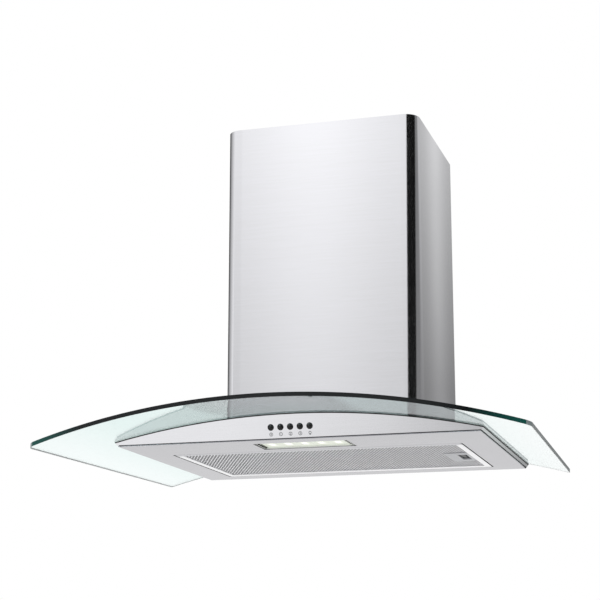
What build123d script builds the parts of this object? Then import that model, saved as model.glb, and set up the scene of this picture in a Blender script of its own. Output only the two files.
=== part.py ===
from build123d import *
import math
import os

# Curved glass range hood, nominal 60 cm, hung on a wall over a hob. All sizes are in millimetres.
# X runs from left to right as the cook sees it, -Y points at the cook and +Z is up. The origin lies on the
# wall plane, on the centre line, level with the underside of the steel body.

# Sheet metal and fits
sheet = 1.0                    # body, chimney covers and blower box
running_fit = 0.06             # radial play of a pin, shaft or stem in its bore
moving_gap = 0.4               # least space between pieces that pass each other
seat_gap = 0.3                 # space under a piece that rests on its seat
loose_fit = 0.3                # play of a piece that drops into a pocket
cut = 40.0                     # how far a cutter runs past what it cuts

# Underside panel and grease filter
filter_width = 372.0
filter_depth = 224.0
filter_height = 9.0
filter_side_margin = 40.3      # filter to the side of the underside
filter_back_gap = 33.0         # wall plane to the filter
filter_corner = 3.0
filter_lip_side = 8.0
filter_lip_end = 12.0
filter_sheet = 1.0
mesh_thickness = 0.8
core_layers = 5                # layers of finer mesh behind the outer one
core_layer_thickness = 0.4
filter_seam = 0.8              # round the filter
hinge_seam = 1.2               # the seam at the hinge end is wider, for the swing
hinge_inset = 6.5              # hinge pins from the filter's left end
hinge_height = 3.5
hinge_rim_gap = 2.6
pin_radius = 2.0
pin_length = 7.0
rim_height = 10.0

# Filter latch
latch_plate_width = 30.6
latch_plate_depth = 75.0
latch_plate_sheet = 0.8
latch_plate_inset = 8.4        # from the filter's right end
latch_offset = 11.5            # behind the middle of the filter
latch_case_width = 26.8
latch_case_depth = 53.0
latch_case_wall = 1.3
latch_window_width = 11.6
latch_window_depth = 45.0
latch_window_inset = 12.4      # from the filter's right end
slider_width = 5.6
slider_depth = 41.0
slider_height = 3.6
slider_inset = 22.8            # from the filter's right end to the slider's left face
tongue_width = 13.0
tongue_height = 1.8
tongue_reach = 0.5             # out of the filter's right end
spring_radius = 1.5
spring_wire = 0.25
spring_turns = 8

# Lamp
lamp_width = 119.0
lamp_depth = 49.6
lamp_gap = 15.2                # between the filter and the lamp opening
lamp_front_margin = 25.2       # lamp opening to the foot of the fascia
lamp_lip = 2.7
lamp_flange = 6.0
lamp_sheet = 1.2
lamp_wall = 1.5
lamp_height = 13.0
lamp_lip_drop = 0.7            # the lip reaches down to this far above the underside
lens_thickness = 2.0
rib_count = 6
rib_width = 2.0
rib_depth = 1.4
board_thickness = 1.6
chip_count = 5
chip_pitch = 21.0
chip_size = 5.0
chip_height = 0.8
driver_width = 62.0            # LED driver
driver_depth = 30.0
driver_height = 12.0
driver_gap = 12.0              # between the lamp and its driver

# Steel body: a shallow tray under the glass
body_side_height = 6.63        # underside to glass at the side edges
side_lean = 38.3               # degrees from upright
fascia_lean = 15.1             # degrees from upright
seal_thickness = 1.5           # space for the black seal between body and glass
seal_play = 0.15               # at each face of a seal
seal_width = 8.0
seam_height = 0.9              # dark seam round the foot of the fascia
seam_inset = 0.6
seam_seal_width = 3.0

# Glass canopy: a sheet bent to part of a cylinder whose axis runs front to back
glass_radius = 1063.0          # of the underside
glass_thickness = 5.0
glass_side_overhang = 73.7     # glass beyond the underside, at the front corners
glass_taper = 13.5             # the glass is narrower at the wall by this much on each side
glass_front_overhang = 119.5   # crown of the front edge beyond the foot of the fascia
glass_corner_setback = 19.4    # the front edge bows forward by this much
glass_front_corner = 10.0
glass_back_corner = 4.0
glass_wall_gap = 2.0

# Chimney covers
chimney_side_room = 36.6       # beside the blower box
chimney_front_room = 11.8      # in front of the blower box
chimney_top = 443.0
chimney_corner = 20.0
chimney_lip = 12.0             # lip along the wall
cover_gap = 0.6                # between the two covers
upper_foot = 54.0              # lower edge of the upper cover
upper_top_drop = 2.0           # the upper cover stops this far under the top of the lower one

# Blower box and the way that the air takes
box_width = 190.0
box_depth = 198.0
box_back_gap = 16.0            # between the wall plane and the box
box_top = 250.0
lid_sheet = 1.2
lid_edge = 12.0
flange_sheet = 1.2
flange_side = 17.0             # width of the flange beside the box
flange_end = 4.0               # and in front of and behind it
duct_side_margin = 7.0         # the air's way is narrower than the box by this much on each side
duct_end_margin = 18.0         # and at the front and back
duct_corner = 12.0
glass_cut_margin = 4.0         # the glass is cut back from the duct by this much
screw_pitch_y = 124.0
rest_tab_width = 20.0
rest_tab_sheet = 1.2

# Fan
impeller_radius = 64.0
impeller_length = 86.0
blade_count = 30
blade_depth = 10.0             # radial
blade_bow = 2.4
blade_sheet = 1.2
ring_thickness = 3.0
ring_margin = 1.0
hub_radius = 9.0
hub_length = 14.0
disc_thickness = 3.0
shaft_radius = 4.0
fan_height = 136.0             # shaft above the underside
scroll_step = 6.0            # the spiral opens by this much each quarter turn
tongue_gap = 8.0
scroll_side_gap = 5.0
scroll_wall = 2.0
tongue_fillet = 4.0
inlet_step = 12.0              # the inlet is smaller than the impeller by this much
throat_shift = 5.0             # the outlet is centred this far in front of the box
throat_depth = 84.0
throat_neck = 29.0             # straight part of the outlet's front wall
scroll_flange = 124.0
scroll_flange_thickness = 3.0

# Motor
motor_radius = 40.0
motor_length = 68.0
motor_hub_gap = 8.0            # from the impeller's disc to the motor
motor_edge = 3.0
arm_sheet = 2.0
arm_width = 12.0
arm_ring = 6.0
grommet_height = 3.0
grommet_radius = 6.0
arm_screw_radius = 60.0        # radius of the circle of motor screws

# Outlet collar for a 150 mm duct, with two flaps
collar_radius = 74.5
collar_wall = 2.0
collar_height = 60.0
collar_flange_radius = 86.0
collar_flange = 2.5
collar_screw_pitch = 114.0
flap_height = 25.8             # hinge pin above the lid
flap_thickness = 1.5
flap_edge_gap = 1.5
flap_pin_radius = 2.0
knuckle_radius = 3.6
knuckle_clear = 0.6
knuckle_split = 33.5           # half length of the rear flap's knuckle
knuckle_end = 62.0
ledge_width = 3.5
ledge_thickness = 1.5

# Electrical pieces on the blower box
terminal_depth = 28.0
terminal_width = 60.0
terminal_height = 50.0
terminal_top = 238.0
terminal_wall = 2.0
gland_radius = 8.0
gland_bore = 4.2
gland_height = 13.0
capacitor_radius = 13.5
capacitor_height = 56.0
clip_sheet = 1.0
clip_height = 12.0

# Push buttons
button_count = 5
button_pitch = 12.15
button_row_x = -3.05
button_up = 15.4               # up the fascia from its foot
button_radius = 3.65
button_rim = 1.1
button_dome = 2.3
button_travel = 3.0
button_skirt = 0.5             # cap below the fascia's inner face
stem_radius = 2.4
stem_length = 10.0
guide_width = 72.0
guide_height = 13.0
guide_depth = 6.0
guide_floor = 2.0
switch_width = 56.0
switch_depth = 12.0
switch_flange_width = 70.0
switch_flange = 1.6
switch_bore_floor = 4.5
switch_screw_pitch = 63.0

# Screws and nuts
glass_screw_radius = 2.5
glass_screw_head = 4.5
glass_screw_head_height = 2.6
glass_hole = 4.5
nut_radius = 4.6
nut_height = 4.0
small_screw_radius = 2.0
small_screw_head = 3.6
small_screw_head_height = 2.0
tiny_screw_radius = 1.2
tiny_screw_head = 2.4
tiny_screw_head_height = 1.5
screw_hole_play = 0.3
thread_play = 0.05

# Wall fixings
hook_pitch = 120.0
hook_width = 24.0
hook_height = 50.0
hook_sheet = 2.0
hook_level = 212.0             # top of the shelf that the box hangs on
hook_lip = 10.0
hook_hole = 4.0
hook_hole_up = 16.0            # wall screw above the shelf
bracket_side_gap = 17.6        # from the side of the lower cover
bracket_height = 22.0
bracket_sheet = 1.6
bracket_step = 8.0
bracket_tab = 28.0
bracket_drop = 12.0            # below the top of the upper cover
bracket_hole = 3.0
bracket_hole_inset = 24.0      # from the bracket's ends

# Sizes and places that follow from the ones above. They make the nominal 600 mm hood.
filter_centre_y = -filter_back_gap - filter_depth / 2
filter_left = -filter_width / 2
filter_right = filter_width / 2
filter_front = filter_centre_y - filter_depth / 2
filter_back = filter_centre_y + filter_depth / 2
lamp_centre_y = filter_front - lamp_gap - lamp_depth / 2
latch_centre_y = filter_centre_y + latch_offset
latch_plate_right = filter_right - latch_plate_inset
latch_window_right = filter_right - latch_window_inset
slider_left = filter_right - slider_inset
body_width = filter_width + 2 * filter_side_margin
body_depth = lamp_front_margin + lamp_depth / 2 - lamp_centre_y
glass_front_width = body_width + 2 * glass_side_overhang
glass_back_width = glass_front_width - 2 * glass_taper
glass_depth = body_depth + glass_front_overhang
side_drop = glass_radius - math.sqrt(glass_radius**2 - (body_width / 2) ** 2)
glass_rise = body_side_height + side_drop
arch_centre_z = glass_rise - glass_radius
glass_top_radius = glass_radius + glass_thickness
shell_radius = glass_radius - seal_thickness
shell_inner_radius = shell_radius - sheet
flange_radius = glass_top_radius + seal_thickness
flange_top_radius = flange_radius + flange_sheet
duct_y = -box_back_gap - box_depth / 2
duct_width = box_width - 2 * duct_side_margin
duct_depth = box_depth - 2 * duct_end_margin
chimney_width = box_width + 2 * chimney_side_room
chimney_depth = box_back_gap + box_depth + chimney_front_room
bracket_width = chimney_width - 2 * bracket_side_gap
bracket_hole_pitch = bracket_width - 2 * bracket_hole_inset
box_front = -box_back_gap - box_depth
throat_y = duct_y - throat_shift
lid_top = box_top + lid_sheet
lean = math.radians(fascia_lean)
screw_x = box_width / 2 + flange_side / 2
screw_places = [(x, duct_y + y) for x in (-screw_x, screw_x)
                for y in (-screw_pitch_y / 2, screw_pitch_y / 2)]

os.makedirs("parts", exist_ok=True)


def arch_planes(places, radius):
    """Planes that touch the arch of this radius, on the lines that leave its axis through each x, y."""
    angles = [(math.asin(x / shell_radius), y) for x, y in places]
    return [
        Plane(
            origin=(radius * math.sin(angle), y, arch_centre_z + radius * math.cos(angle)),
            x_dir=(0, 1, 0),
            z_dir=(math.sin(angle), 0, math.cos(angle)),
        )
        for angle, y in angles
    ]


def fascia_plane(x, up, inward=0.0):
    """A plane on the fascia that faces outwards, x from the centre line and up the slope from its foot."""
    y = -body_depth - up * math.sin(lean) + inward * math.cos(lean)
    z = up * math.cos(lean) + inward * math.sin(lean)
    return Plane(origin=(x, y, z), x_dir=(1, 0, 0), z_dir=(0, -math.cos(lean), -math.sin(lean)))


def fan_plane(x):
    """A plane across the fan's shaft at x, with +Y to its right and +Z up."""
    return Plane(origin=(x, duct_y, fan_height), x_dir=(0, 1, 0), z_dir=(1, 0, 0))


def tray_form(top_radius):
    """The body as one solid: flat below, with leaning sides and front and an arched top."""
    top = glass_rise + cut
    side = body_width / 2
    with BuildPart() as form:
        with BuildSketch(Plane.XZ):
            with BuildLine():
                spread = side + top * math.tan(math.radians(side_lean))
                Polyline((-side, 0), (side, 0), (spread, top), (-spread, top), close=True)
            make_face()
            with Locations((0, arch_centre_z)):
                Circle(top_radius, mode=Mode.INTERSECT)
        extrude(amount=body_depth + cut)
        with BuildSketch(Plane.YZ):
            with BuildLine():
                front = -body_depth - top * math.tan(lean)
                Polyline((0, 0), (-body_depth, 0), (front, top), (0, top), close=True)
            make_face()
        extrude(amount=body_width, both=True, mode=Mode.INTERSECT)
    return form.part


def arched_sheet(plan, inner_radius, thickness):
    """The plan cut from a sheet that lies along the glass, on the arch of the inner radius."""
    with BuildPart() as bent:
        extrude(plan, amount=glass_rise + cut)
        extrude(plan, amount=-cut)
        with BuildSketch(Plane.XZ):
            with Locations((0, arch_centre_z)):
                Circle(inner_radius + thickness)
                Circle(inner_radius, mode=Mode.SUBTRACT)
        extrude(amount=glass_depth + cut, mode=Mode.INTERSECT)
    return bent.part


def duct_ring(width, depth):
    """Plan of a rectangle round the duct, open where the air passes."""
    with BuildSketch() as ring:
        with Locations((0, duct_y)):
            Rectangle(width, depth)
            RectangleRounded(duct_width, duct_depth, duct_corner, mode=Mode.SUBTRACT)
    return ring.sketch


def cover_section(width, front, back, corner):
    """Plan of a folded chimney cover: a front, two sides and a narrow lip at the wall on each side."""
    with BuildSketch() as section:
        with Locations((0, back)):
            Rectangle(width, back - front, align=(Align.CENTER, Align.MAX))
        fillet(section.vertices().group_by(Axis.Y)[0], corner)
        offset(amount=-sheet, mode=Mode.SUBTRACT)
        with Locations((0, back)):
            Rectangle(width - 2 * chimney_lip, 4 * sheet, mode=Mode.SUBTRACT)
    return section.sketch


# ---------------------------------------------------------------- steel body
tray = tray_form(shell_radius)
with BuildPart() as body_shell:
    add(tray)
    offset(amount=-sheet, openings=body_shell.faces().sort_by(Axis.Z)[0])
    with BuildSketch(Plane.XY.offset(-cut)):  # the foot of the front and sides stops above the seam
        with Locations((0, -sheet)):
            Rectangle(body_width + cut, body_depth + cut, align=(Align.CENTER, Align.MAX))
    extrude(amount=cut + sheet + seam_height, mode=Mode.SUBTRACT)
    with BuildSketch(Plane.XY):
        with Locations((0, duct_y)):
            RectangleRounded(duct_width, duct_depth, duct_corner)
    extrude(amount=glass_rise + cut, mode=Mode.SUBTRACT)
    with BuildSketch(*arch_planes(screw_places, shell_radius)):
        Circle(glass_screw_radius + screw_hole_play)
    extrude(amount=2 * sheet, both=True, mode=Mode.SUBTRACT)
    with BuildSketch(fascia_plane(button_row_x, button_up)):
        with GridLocations(button_pitch, 1, button_count, 1):
            Circle(button_radius + moving_gap)
    extrude(amount=2 * sheet, both=True, mode=Mode.SUBTRACT)
body_shell.part.label = "body_shell"
export_step(body_shell.part, "parts/body_shell.step")

with BuildPart() as seam_seal:
    add(tray)
    with BuildSketch(Plane.XY.offset(sheet)):
        Rectangle(body_width + cut, 2 * (body_depth + cut))
    extrude(amount=seam_height, mode=Mode.INTERSECT)
    with BuildSketch(Plane.XY):
        with Locations((0, -sheet - seam_inset)):
            inner_width = body_width - 2 * seam_inset - 2 * seam_seal_width
            inner_depth = body_depth - sheet - 2 * seam_inset - seam_seal_width
            Rectangle(inner_width, inner_depth + cut, align=(Align.CENTER, Align.MAX))
            with Locations((0, -inner_depth)):
                Rectangle(body_width, 2 * cut, align=(Align.CENTER, Align.MAX), mode=Mode.SUBTRACT)
    extrude(amount=cut, mode=Mode.SUBTRACT)
    with BuildSketch(Plane.XY):  # the strip stands back from the faces on all sides
        Rectangle(2 * body_width, 4 * body_depth)
        with Locations((0, -sheet - seam_inset)):
            outer_depth = body_depth - sheet - 2 * seam_inset
            outer_width = body_width - 2 * seam_inset
            Rectangle(outer_width, outer_depth, align=(Align.CENTER, Align.MAX), mode=Mode.SUBTRACT)
    extrude(amount=cut, mode=Mode.SUBTRACT)
seam_seal.part.label = "seam_seal"
export_step(seam_seal.part, "parts/seam_seal.step")

with BuildPart() as glass_seal:
    add(tray_form(glass_radius - seal_play))
    add(tray_form(shell_radius + seal_play), mode=Mode.SUBTRACT)
    with BuildSketch(Plane.XY):
        with Locations((0, -seal_width)):
            inner_depth = body_depth - 2 * seal_width
            Rectangle(body_width - 2 * seal_width, inner_depth, align=(Align.CENTER, Align.MAX))
    extrude(amount=glass_rise + cut, mode=Mode.SUBTRACT)
glass_seal.part.label = "glass_seal"
export_step(glass_seal.part, "parts/glass_seal.step")

# ---------------------------------------------------------------- glass canopy and what clamps it
with BuildSketch() as glass_plan:
    front_half = glass_front_width / 2
    back_half = glass_back_width / 2
    corner_y = -glass_depth + glass_corner_setback
    with BuildLine():
        ThreePointArc((-front_half, corner_y), (0, -glass_depth), (front_half, corner_y))
        Polyline(
            (front_half, corner_y),
            (back_half, -glass_wall_gap),
            (-back_half, -glass_wall_gap),
            (-front_half, corner_y),
        )
    make_face()
    fillet(glass_plan.vertices().group_by(Axis.Y)[0], glass_front_corner)
    fillet(glass_plan.vertices().group_by(Axis.Y)[-1], glass_back_corner)
    with Locations((0, duct_y)):
        RectangleRounded(
            duct_width + 2 * glass_cut_margin,
            duct_depth + 2 * glass_cut_margin,
            duct_corner + glass_cut_margin,
            mode=Mode.SUBTRACT,
        )

with BuildPart() as glass_canopy:
    add(arched_sheet(glass_plan.sketch, glass_radius, glass_thickness))
    with BuildSketch(*arch_planes(screw_places, glass_radius)):
        Circle(glass_hole)
    extrude(amount=2 * glass_thickness, both=True, mode=Mode.SUBTRACT)
glass_canopy.part.label = "glass_canopy"
export_step(glass_canopy.part, "parts/glass_canopy.step")

flange_width = box_width + 2 * flange_side
flange_depth = box_depth + 2 * flange_end
for name, base_radius in (("duct_seal_lower", shell_radius), ("duct_seal_upper", glass_top_radius)):
    with BuildPart() as duct_seal:
        seal_radius = base_radius + seal_play
        add(arched_sheet(duct_ring(flange_width, flange_depth), seal_radius,
                         seal_thickness - 2 * seal_play))
        with BuildSketch(*arch_planes(screw_places, base_radius)):
            Circle(glass_hole)
        extrude(amount=2 * seal_thickness, both=True, mode=Mode.SUBTRACT)
    duct_seal.part.label = name
    export_step(duct_seal.part, f"parts/{name}.step")

with BuildPart() as glass_bushes:
    with BuildSketch(*arch_planes(screw_places, glass_radius)):
        Circle(glass_hole - thread_play)
        Circle(glass_screw_radius + thread_play, mode=Mode.SUBTRACT)
    extrude(amount=glass_thickness)
glass_bushes.part.label = "glass_bushes"
export_step(glass_bushes.part, "parts/glass_bushes.step")

with BuildPart() as glass_screws:
    with BuildSketch(*arch_planes(screw_places, flange_top_radius)):
        Circle(glass_screw_head)
    extrude(amount=glass_screw_head_height)
    fillet(glass_screws.edges().filter_by(GeomType.CIRCLE).group_by(Axis.Z)[-1], sheet)
    with BuildSketch(*arch_planes(screw_places, flange_top_radius)):
        Circle(glass_screw_radius)
    extrude(amount=-(flange_top_radius - shell_inner_radius + nut_height + sheet))
glass_screws.part.label = "glass_screws"
export_step(glass_screws.part, "parts/glass_screws.step")

with BuildPart() as glass_nuts:
    with BuildSketch(*arch_planes(screw_places, shell_inner_radius - thread_play)):
        RegularPolygon(nut_radius, 6)
        Circle(glass_screw_radius + thread_play, mode=Mode.SUBTRACT)
    extrude(amount=-nut_height)
glass_nuts.part.label = "glass_nuts"
export_step(glass_nuts.part, "parts/glass_nuts.step")

# ---------------------------------------------------------------- chimney covers
with BuildPart() as lower_chimney:
    with BuildSketch(Plane.XY):
        add(cover_section(chimney_width, -chimney_depth, 0, chimney_corner))
    extrude(amount=chimney_top)
    with BuildSketch(Plane.XZ.offset(-cut)):  # the foot follows the glass
        with Locations((0, arch_centre_z)):
            Circle(glass_top_radius + seat_gap)
    extrude(amount=chimney_depth + 2 * cut, mode=Mode.SUBTRACT)
lower_chimney.part.label = "lower_chimney"
export_step(lower_chimney.part, "parts/lower_chimney.step")

nest = sheet + cover_gap
upper_width = chimney_width - 2 * nest
upper_top = chimney_top - upper_top_drop
with BuildPart() as upper_chimney:
    with BuildSketch(Plane.XY.offset(upper_foot)):
        add(cover_section(upper_width, -chimney_depth + nest, -nest, chimney_corner - nest))
    extrude(amount=upper_top - upper_foot)
upper_chimney.part.label = "upper_chimney"
export_step(upper_chimney.part, "parts/upper_chimney.step")

bracket_z = upper_top - bracket_drop - bracket_height
tab_x = upper_width / 2 - sheet - bracket_sheet / 2
tab_y = -bracket_step - bracket_tab / 2
with BuildPart() as chimney_bracket:
    with BuildSketch(Plane.XY.offset(bracket_z)):
        with Locations((0, -bracket_sheet / 2)):
            Rectangle(bracket_width, bracket_sheet)
        for side in (-1, 1):
            with Locations((side * (bracket_width - bracket_sheet) / 2, -bracket_step / 2)):
                Rectangle(bracket_sheet, bracket_step)
            foot_inner = bracket_width / 2 - bracket_sheet
            foot_outer = tab_x + bracket_sheet / 2
            with Locations((side * (foot_inner + foot_outer) / 2, -bracket_step)):
                Rectangle(foot_outer - foot_inner, bracket_sheet)
            with Locations((side * tab_x, tab_y)):
                Rectangle(bracket_sheet, bracket_tab)
    extrude(amount=bracket_height)
    with BuildSketch(Plane.XZ.offset(-cut)):
        with Locations((0, bracket_z + bracket_height / 2)):
            with GridLocations(bracket_hole_pitch, 1, 2, 1):
                Circle(bracket_hole)
    extrude(amount=2 * cut, mode=Mode.SUBTRACT)
    with BuildSketch(Plane.YZ.offset(-upper_width)):
        with Locations((tab_y, bracket_z + bracket_height / 2)):
            Circle(small_screw_radius + screw_hole_play)
    extrude(amount=2 * upper_width, mode=Mode.SUBTRACT)
chimney_bracket.part.label = "chimney_bracket"
export_step(chimney_bracket.part, "parts/chimney_bracket.step")

with BuildPart() as bracket_nuts:
    for side in (-1, 1):
        nut_face = Plane(
            origin=(side * (tab_x - bracket_sheet / 2), tab_y, bracket_z + bracket_height / 2),
            x_dir=(0, 1, 0),
            z_dir=(-side, 0, 0),
        )
        with BuildSketch(nut_face):
            RegularPolygon(small_screw_head, 6)
            Circle(small_screw_radius + thread_play, mode=Mode.SUBTRACT)
        extrude(amount=nut_height)
bracket_nuts.part.label = "bracket_nuts"
export_step(bracket_nuts.part, "parts/bracket_nuts.step")

# ---------------------------------------------------------------- blower box
rest_reach = upper_width / 2 - loose_fit
flange = arched_sheet(duct_ring(flange_width, flange_depth), flange_radius, flange_sheet)
slot_foot = hook_level - hook_sheet - hook_lip
with BuildPart() as blower_box:
    with BuildSketch(Plane.XY):
        with Locations((0, duct_y)):
            Rectangle(box_width, box_depth)
            Rectangle(box_width - 2 * sheet, box_depth - 2 * sheet, mode=Mode.SUBTRACT)
    extrude(amount=box_top)
    with BuildSketch(Plane.XZ.offset(-cut)):
        with Locations((0, arch_centre_z)):
            Circle(flange_radius)
    extrude(amount=box_depth + 3 * cut, mode=Mode.SUBTRACT)
    add(flange)
    with BuildSketch(Plane.XY.offset(upper_foot - seat_gap - rest_tab_sheet)):  # the upper cover rests here
        for side in (-1, 1):
            with Locations((side * (box_width / 2 + rest_reach) / 2, duct_y)):
                Rectangle(rest_reach - box_width / 2, rest_tab_width)
    extrude(amount=rest_tab_sheet)
    with BuildSketch(*arch_planes(screw_places, flange_radius)):
        Circle(glass_screw_radius + screw_hole_play)
    extrude(amount=2 * flange_sheet, both=True, mode=Mode.SUBTRACT)
    with BuildSketch(Plane.XZ.offset(box_back_gap - sheet)):  # two slots that hang on the wall hooks
        with Locations((0, (slot_foot + hook_level + seat_gap) / 2)):
            with GridLocations(hook_pitch, 1, 2, 1):
                Rectangle(hook_width + 2 * loose_fit, hook_level + seat_gap - slot_foot)
    extrude(amount=3 * sheet, mode=Mode.SUBTRACT)
blower_box.part.label = "blower_box"
export_step(blower_box.part, "parts/blower_box.step")

throat_width = impeller_length + 2 * scroll_side_gap
collar_places = GridLocations(collar_screw_pitch, collar_screw_pitch, 2, 2)
with BuildPart() as box_lid:
    with BuildSketch(Plane.XY.offset(box_top)):
        with Locations((0, duct_y)):
            Rectangle(box_width + 2 * lid_sheet, box_depth + 2 * lid_sheet)
    extrude(amount=lid_sheet)
    with BuildSketch(Plane.XY.offset(box_top)):  # edge folded down over the box
        with Locations((0, duct_y)):
            Rectangle(box_width + 2 * lid_sheet, box_depth + 2 * lid_sheet)
            Rectangle(box_width, box_depth, mode=Mode.SUBTRACT)
    extrude(amount=-lid_edge)
    with BuildSketch(Plane.XY.offset(box_top)):
        with Locations((0, throat_y)):
            Rectangle(throat_width, throat_depth)
            with GridLocations(collar_screw_pitch, collar_screw_pitch, 2, 2):
                Circle(small_screw_radius + screw_hole_play)
    extrude(amount=lid_sheet, mode=Mode.SUBTRACT)
box_lid.part.label = "box_lid"
export_step(box_lid.part, "parts/box_lid.step")

# ---------------------------------------------------------------- fan scroll, in two halves
arc_third = impeller_radius + tongue_gap + scroll_step
arc_second = arc_third + scroll_step
arc_first = arc_second + scroll_step
throat_front = throat_y - throat_depth / 2 - duct_y
throat_back = throat_y + throat_depth / 2 - duct_y
throat_top = box_top - fan_height
with BuildSketch() as spiral:  # drawn about the shaft, with +Y to the right and +Z up
    with BuildLine():
        Line((throat_front, throat_top), (-arc_first, throat_neck))
        Line((-arc_first, throat_neck), (-arc_first, 0))
        CenterArc((0, 0), arc_first, 180, 90)
        CenterArc((0, -scroll_step), arc_second, 270, 90)
        CenterArc((scroll_step, -scroll_step), arc_third, 0, 90)
        Line((scroll_step, arc_third - scroll_step), (throat_back, throat_top))
        Line((throat_back, throat_top), (throat_front, throat_top))
    make_face()
    tongue_tip = spiral.vertices().sort_by_distance((scroll_step, arc_third - scroll_step))[0]
    fillet(tongue_tip, tongue_fillet)

with BuildSketch() as spiral_wall:
    add(spiral.sketch)
    offset(amount=scroll_wall)
    with Locations((0, throat_top)):
        Rectangle(4 * arc_first, 2 * cut, align=(Align.CENTER, Align.MIN), mode=Mode.SUBTRACT)

half_width = throat_width / 2 + scroll_wall
for name, side in (("scroll_left", -1), ("scroll_right", 1)):
    inlet_face = Plane(origin=(0, duct_y, fan_height), x_dir=(0, 1, 0), z_dir=(1, 0, 0))
    with BuildPart() as scroll_half:
        with BuildSketch(inlet_face):
            add(spiral_wall.sketch)
        extrude(amount=side * half_width)
        with BuildSketch(Plane.XY.offset(box_top)):
            with Locations((0, throat_y)):
                flange_align = (Align.MIN if side > 0 else Align.MAX, Align.CENTER)
                Rectangle(scroll_flange / 2, scroll_flange, align=flange_align)
        extrude(amount=-scroll_flange_thickness)
        with BuildSketch(inlet_face):
            add(spiral.sketch)
        extrude(amount=side * throat_width / 2, mode=Mode.SUBTRACT)
        with BuildSketch(inlet_face):
            Circle(impeller_radius - inlet_step)
            with PolarLocations(arm_screw_radius, 3, start_angle=90):
                Circle(small_screw_radius + thread_play)
        extrude(amount=side * (half_width + cut), mode=Mode.SUBTRACT)
        with BuildSketch(Plane.XY.offset(box_top)):
            with Locations((0, throat_y)):
                with GridLocations(collar_screw_pitch, collar_screw_pitch, 2, 2):
                    Circle(small_screw_radius + thread_play)
        extrude(amount=-scroll_flange_thickness, mode=Mode.SUBTRACT)
    scroll_half.part.label = name
    export_step(scroll_half.part, f"parts/{name}.step")

# ---------------------------------------------------------------- impeller, shaft and motor
blade_circle = impeller_radius - ring_margin - blade_depth / 2
with BuildPart() as impeller:
    with BuildSketch(fan_plane(-impeller_length / 2)):
        with PolarLocations(blade_circle, blade_count):
            with BuildLine():
                blade_line = ThreePointArc((-blade_depth / 2, 0), (0, blade_bow), (blade_depth / 2, 0))
            SlotArc(blade_line, blade_sheet)
    extrude(amount=impeller_length)
    with BuildSketch(fan_plane(-disc_thickness / 2)):
        Circle(impeller_radius)
    extrude(amount=disc_thickness)
    for ring_x in (-impeller_length / 2, impeller_length / 2 - ring_thickness):
        with BuildSketch(fan_plane(ring_x)):
            Circle(impeller_radius)
            Circle(impeller_radius - 2 * ring_margin - blade_depth / 2, mode=Mode.SUBTRACT)
        extrude(amount=ring_thickness)
    with BuildSketch(fan_plane(-disc_thickness / 2)):
        Circle(hub_radius)
    extrude(amount=hub_length)
    with BuildSketch(fan_plane(-impeller_length)):
        Circle(shaft_radius + thread_play)
    extrude(amount=2 * impeller_length, mode=Mode.SUBTRACT)
impeller.part.label = "impeller"
export_step(impeller.part, "parts/impeller.step")

motor_inner_x = -disc_thickness / 2 - motor_hub_gap
motor_outer_x = motor_inner_x - motor_length
with BuildPart() as motor_shaft:
    with BuildSketch(fan_plane(motor_outer_x - motor_edge)):
        Circle(shaft_radius)
    extrude(amount=hub_length + motor_edge - motor_outer_x)
motor_shaft.part.label = "motor_shaft"
export_step(motor_shaft.part, "parts/motor_shaft.step")

with BuildPart() as motor_case:
    with BuildSketch(fan_plane(motor_outer_x)):
        Circle(motor_radius)
    extrude(amount=motor_length)
    fillet(motor_case.edges().filter_by(GeomType.CIRCLE), motor_edge)
    with BuildSketch(fan_plane(motor_outer_x)):
        Circle(shaft_radius + running_fit)
    extrude(amount=motor_length, mode=Mode.SUBTRACT)
motor_case.part.label = "motor_case"
export_step(motor_case.part, "parts/motor_case.step")

scroll_face_x = -half_width
arm_x = scroll_face_x - grommet_height - arm_sheet
with BuildPart() as motor_bracket:
    with BuildSketch(fan_plane(arm_x)):
        Circle(motor_radius + arm_ring)
        with PolarLocations(arm_screw_radius / 2, 3, start_angle=90):
            Rectangle(arm_screw_radius, arm_width)
        with PolarLocations(arm_screw_radius, 3, start_angle=90):
            Circle(arm_width / 2)
        Circle(motor_radius + thread_play, mode=Mode.SUBTRACT)
        with PolarLocations(arm_screw_radius, 3, start_angle=90):
            Circle(small_screw_radius + thread_play, mode=Mode.SUBTRACT)
    extrude(amount=arm_sheet)
motor_bracket.part.label = "motor_bracket"
export_step(motor_bracket.part, "parts/motor_bracket.step")

with BuildPart() as motor_grommets:
    with BuildSketch(fan_plane(arm_x + arm_sheet)):
        with PolarLocations(arm_screw_radius, 3, start_angle=90):
            Circle(grommet_radius)
            Circle(small_screw_radius + thread_play, mode=Mode.SUBTRACT)
    extrude(amount=grommet_height)
motor_grommets.part.label = "motor_grommets"
export_step(motor_grommets.part, "parts/motor_grommets.step")

with BuildPart() as motor_screws:
    with BuildSketch(fan_plane(arm_x - small_screw_head_height)):
        with PolarLocations(arm_screw_radius, 3, start_angle=90):
            Circle(small_screw_head)
    extrude(amount=small_screw_head_height)
    with BuildSketch(fan_plane(arm_x)):
        with PolarLocations(arm_screw_radius, 3, start_angle=90):
            Circle(small_screw_radius)
    extrude(amount=arm_sheet + grommet_height + scroll_wall)
motor_screws.part.label = "motor_screws"
export_step(motor_screws.part, "parts/motor_screws.step")

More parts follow.
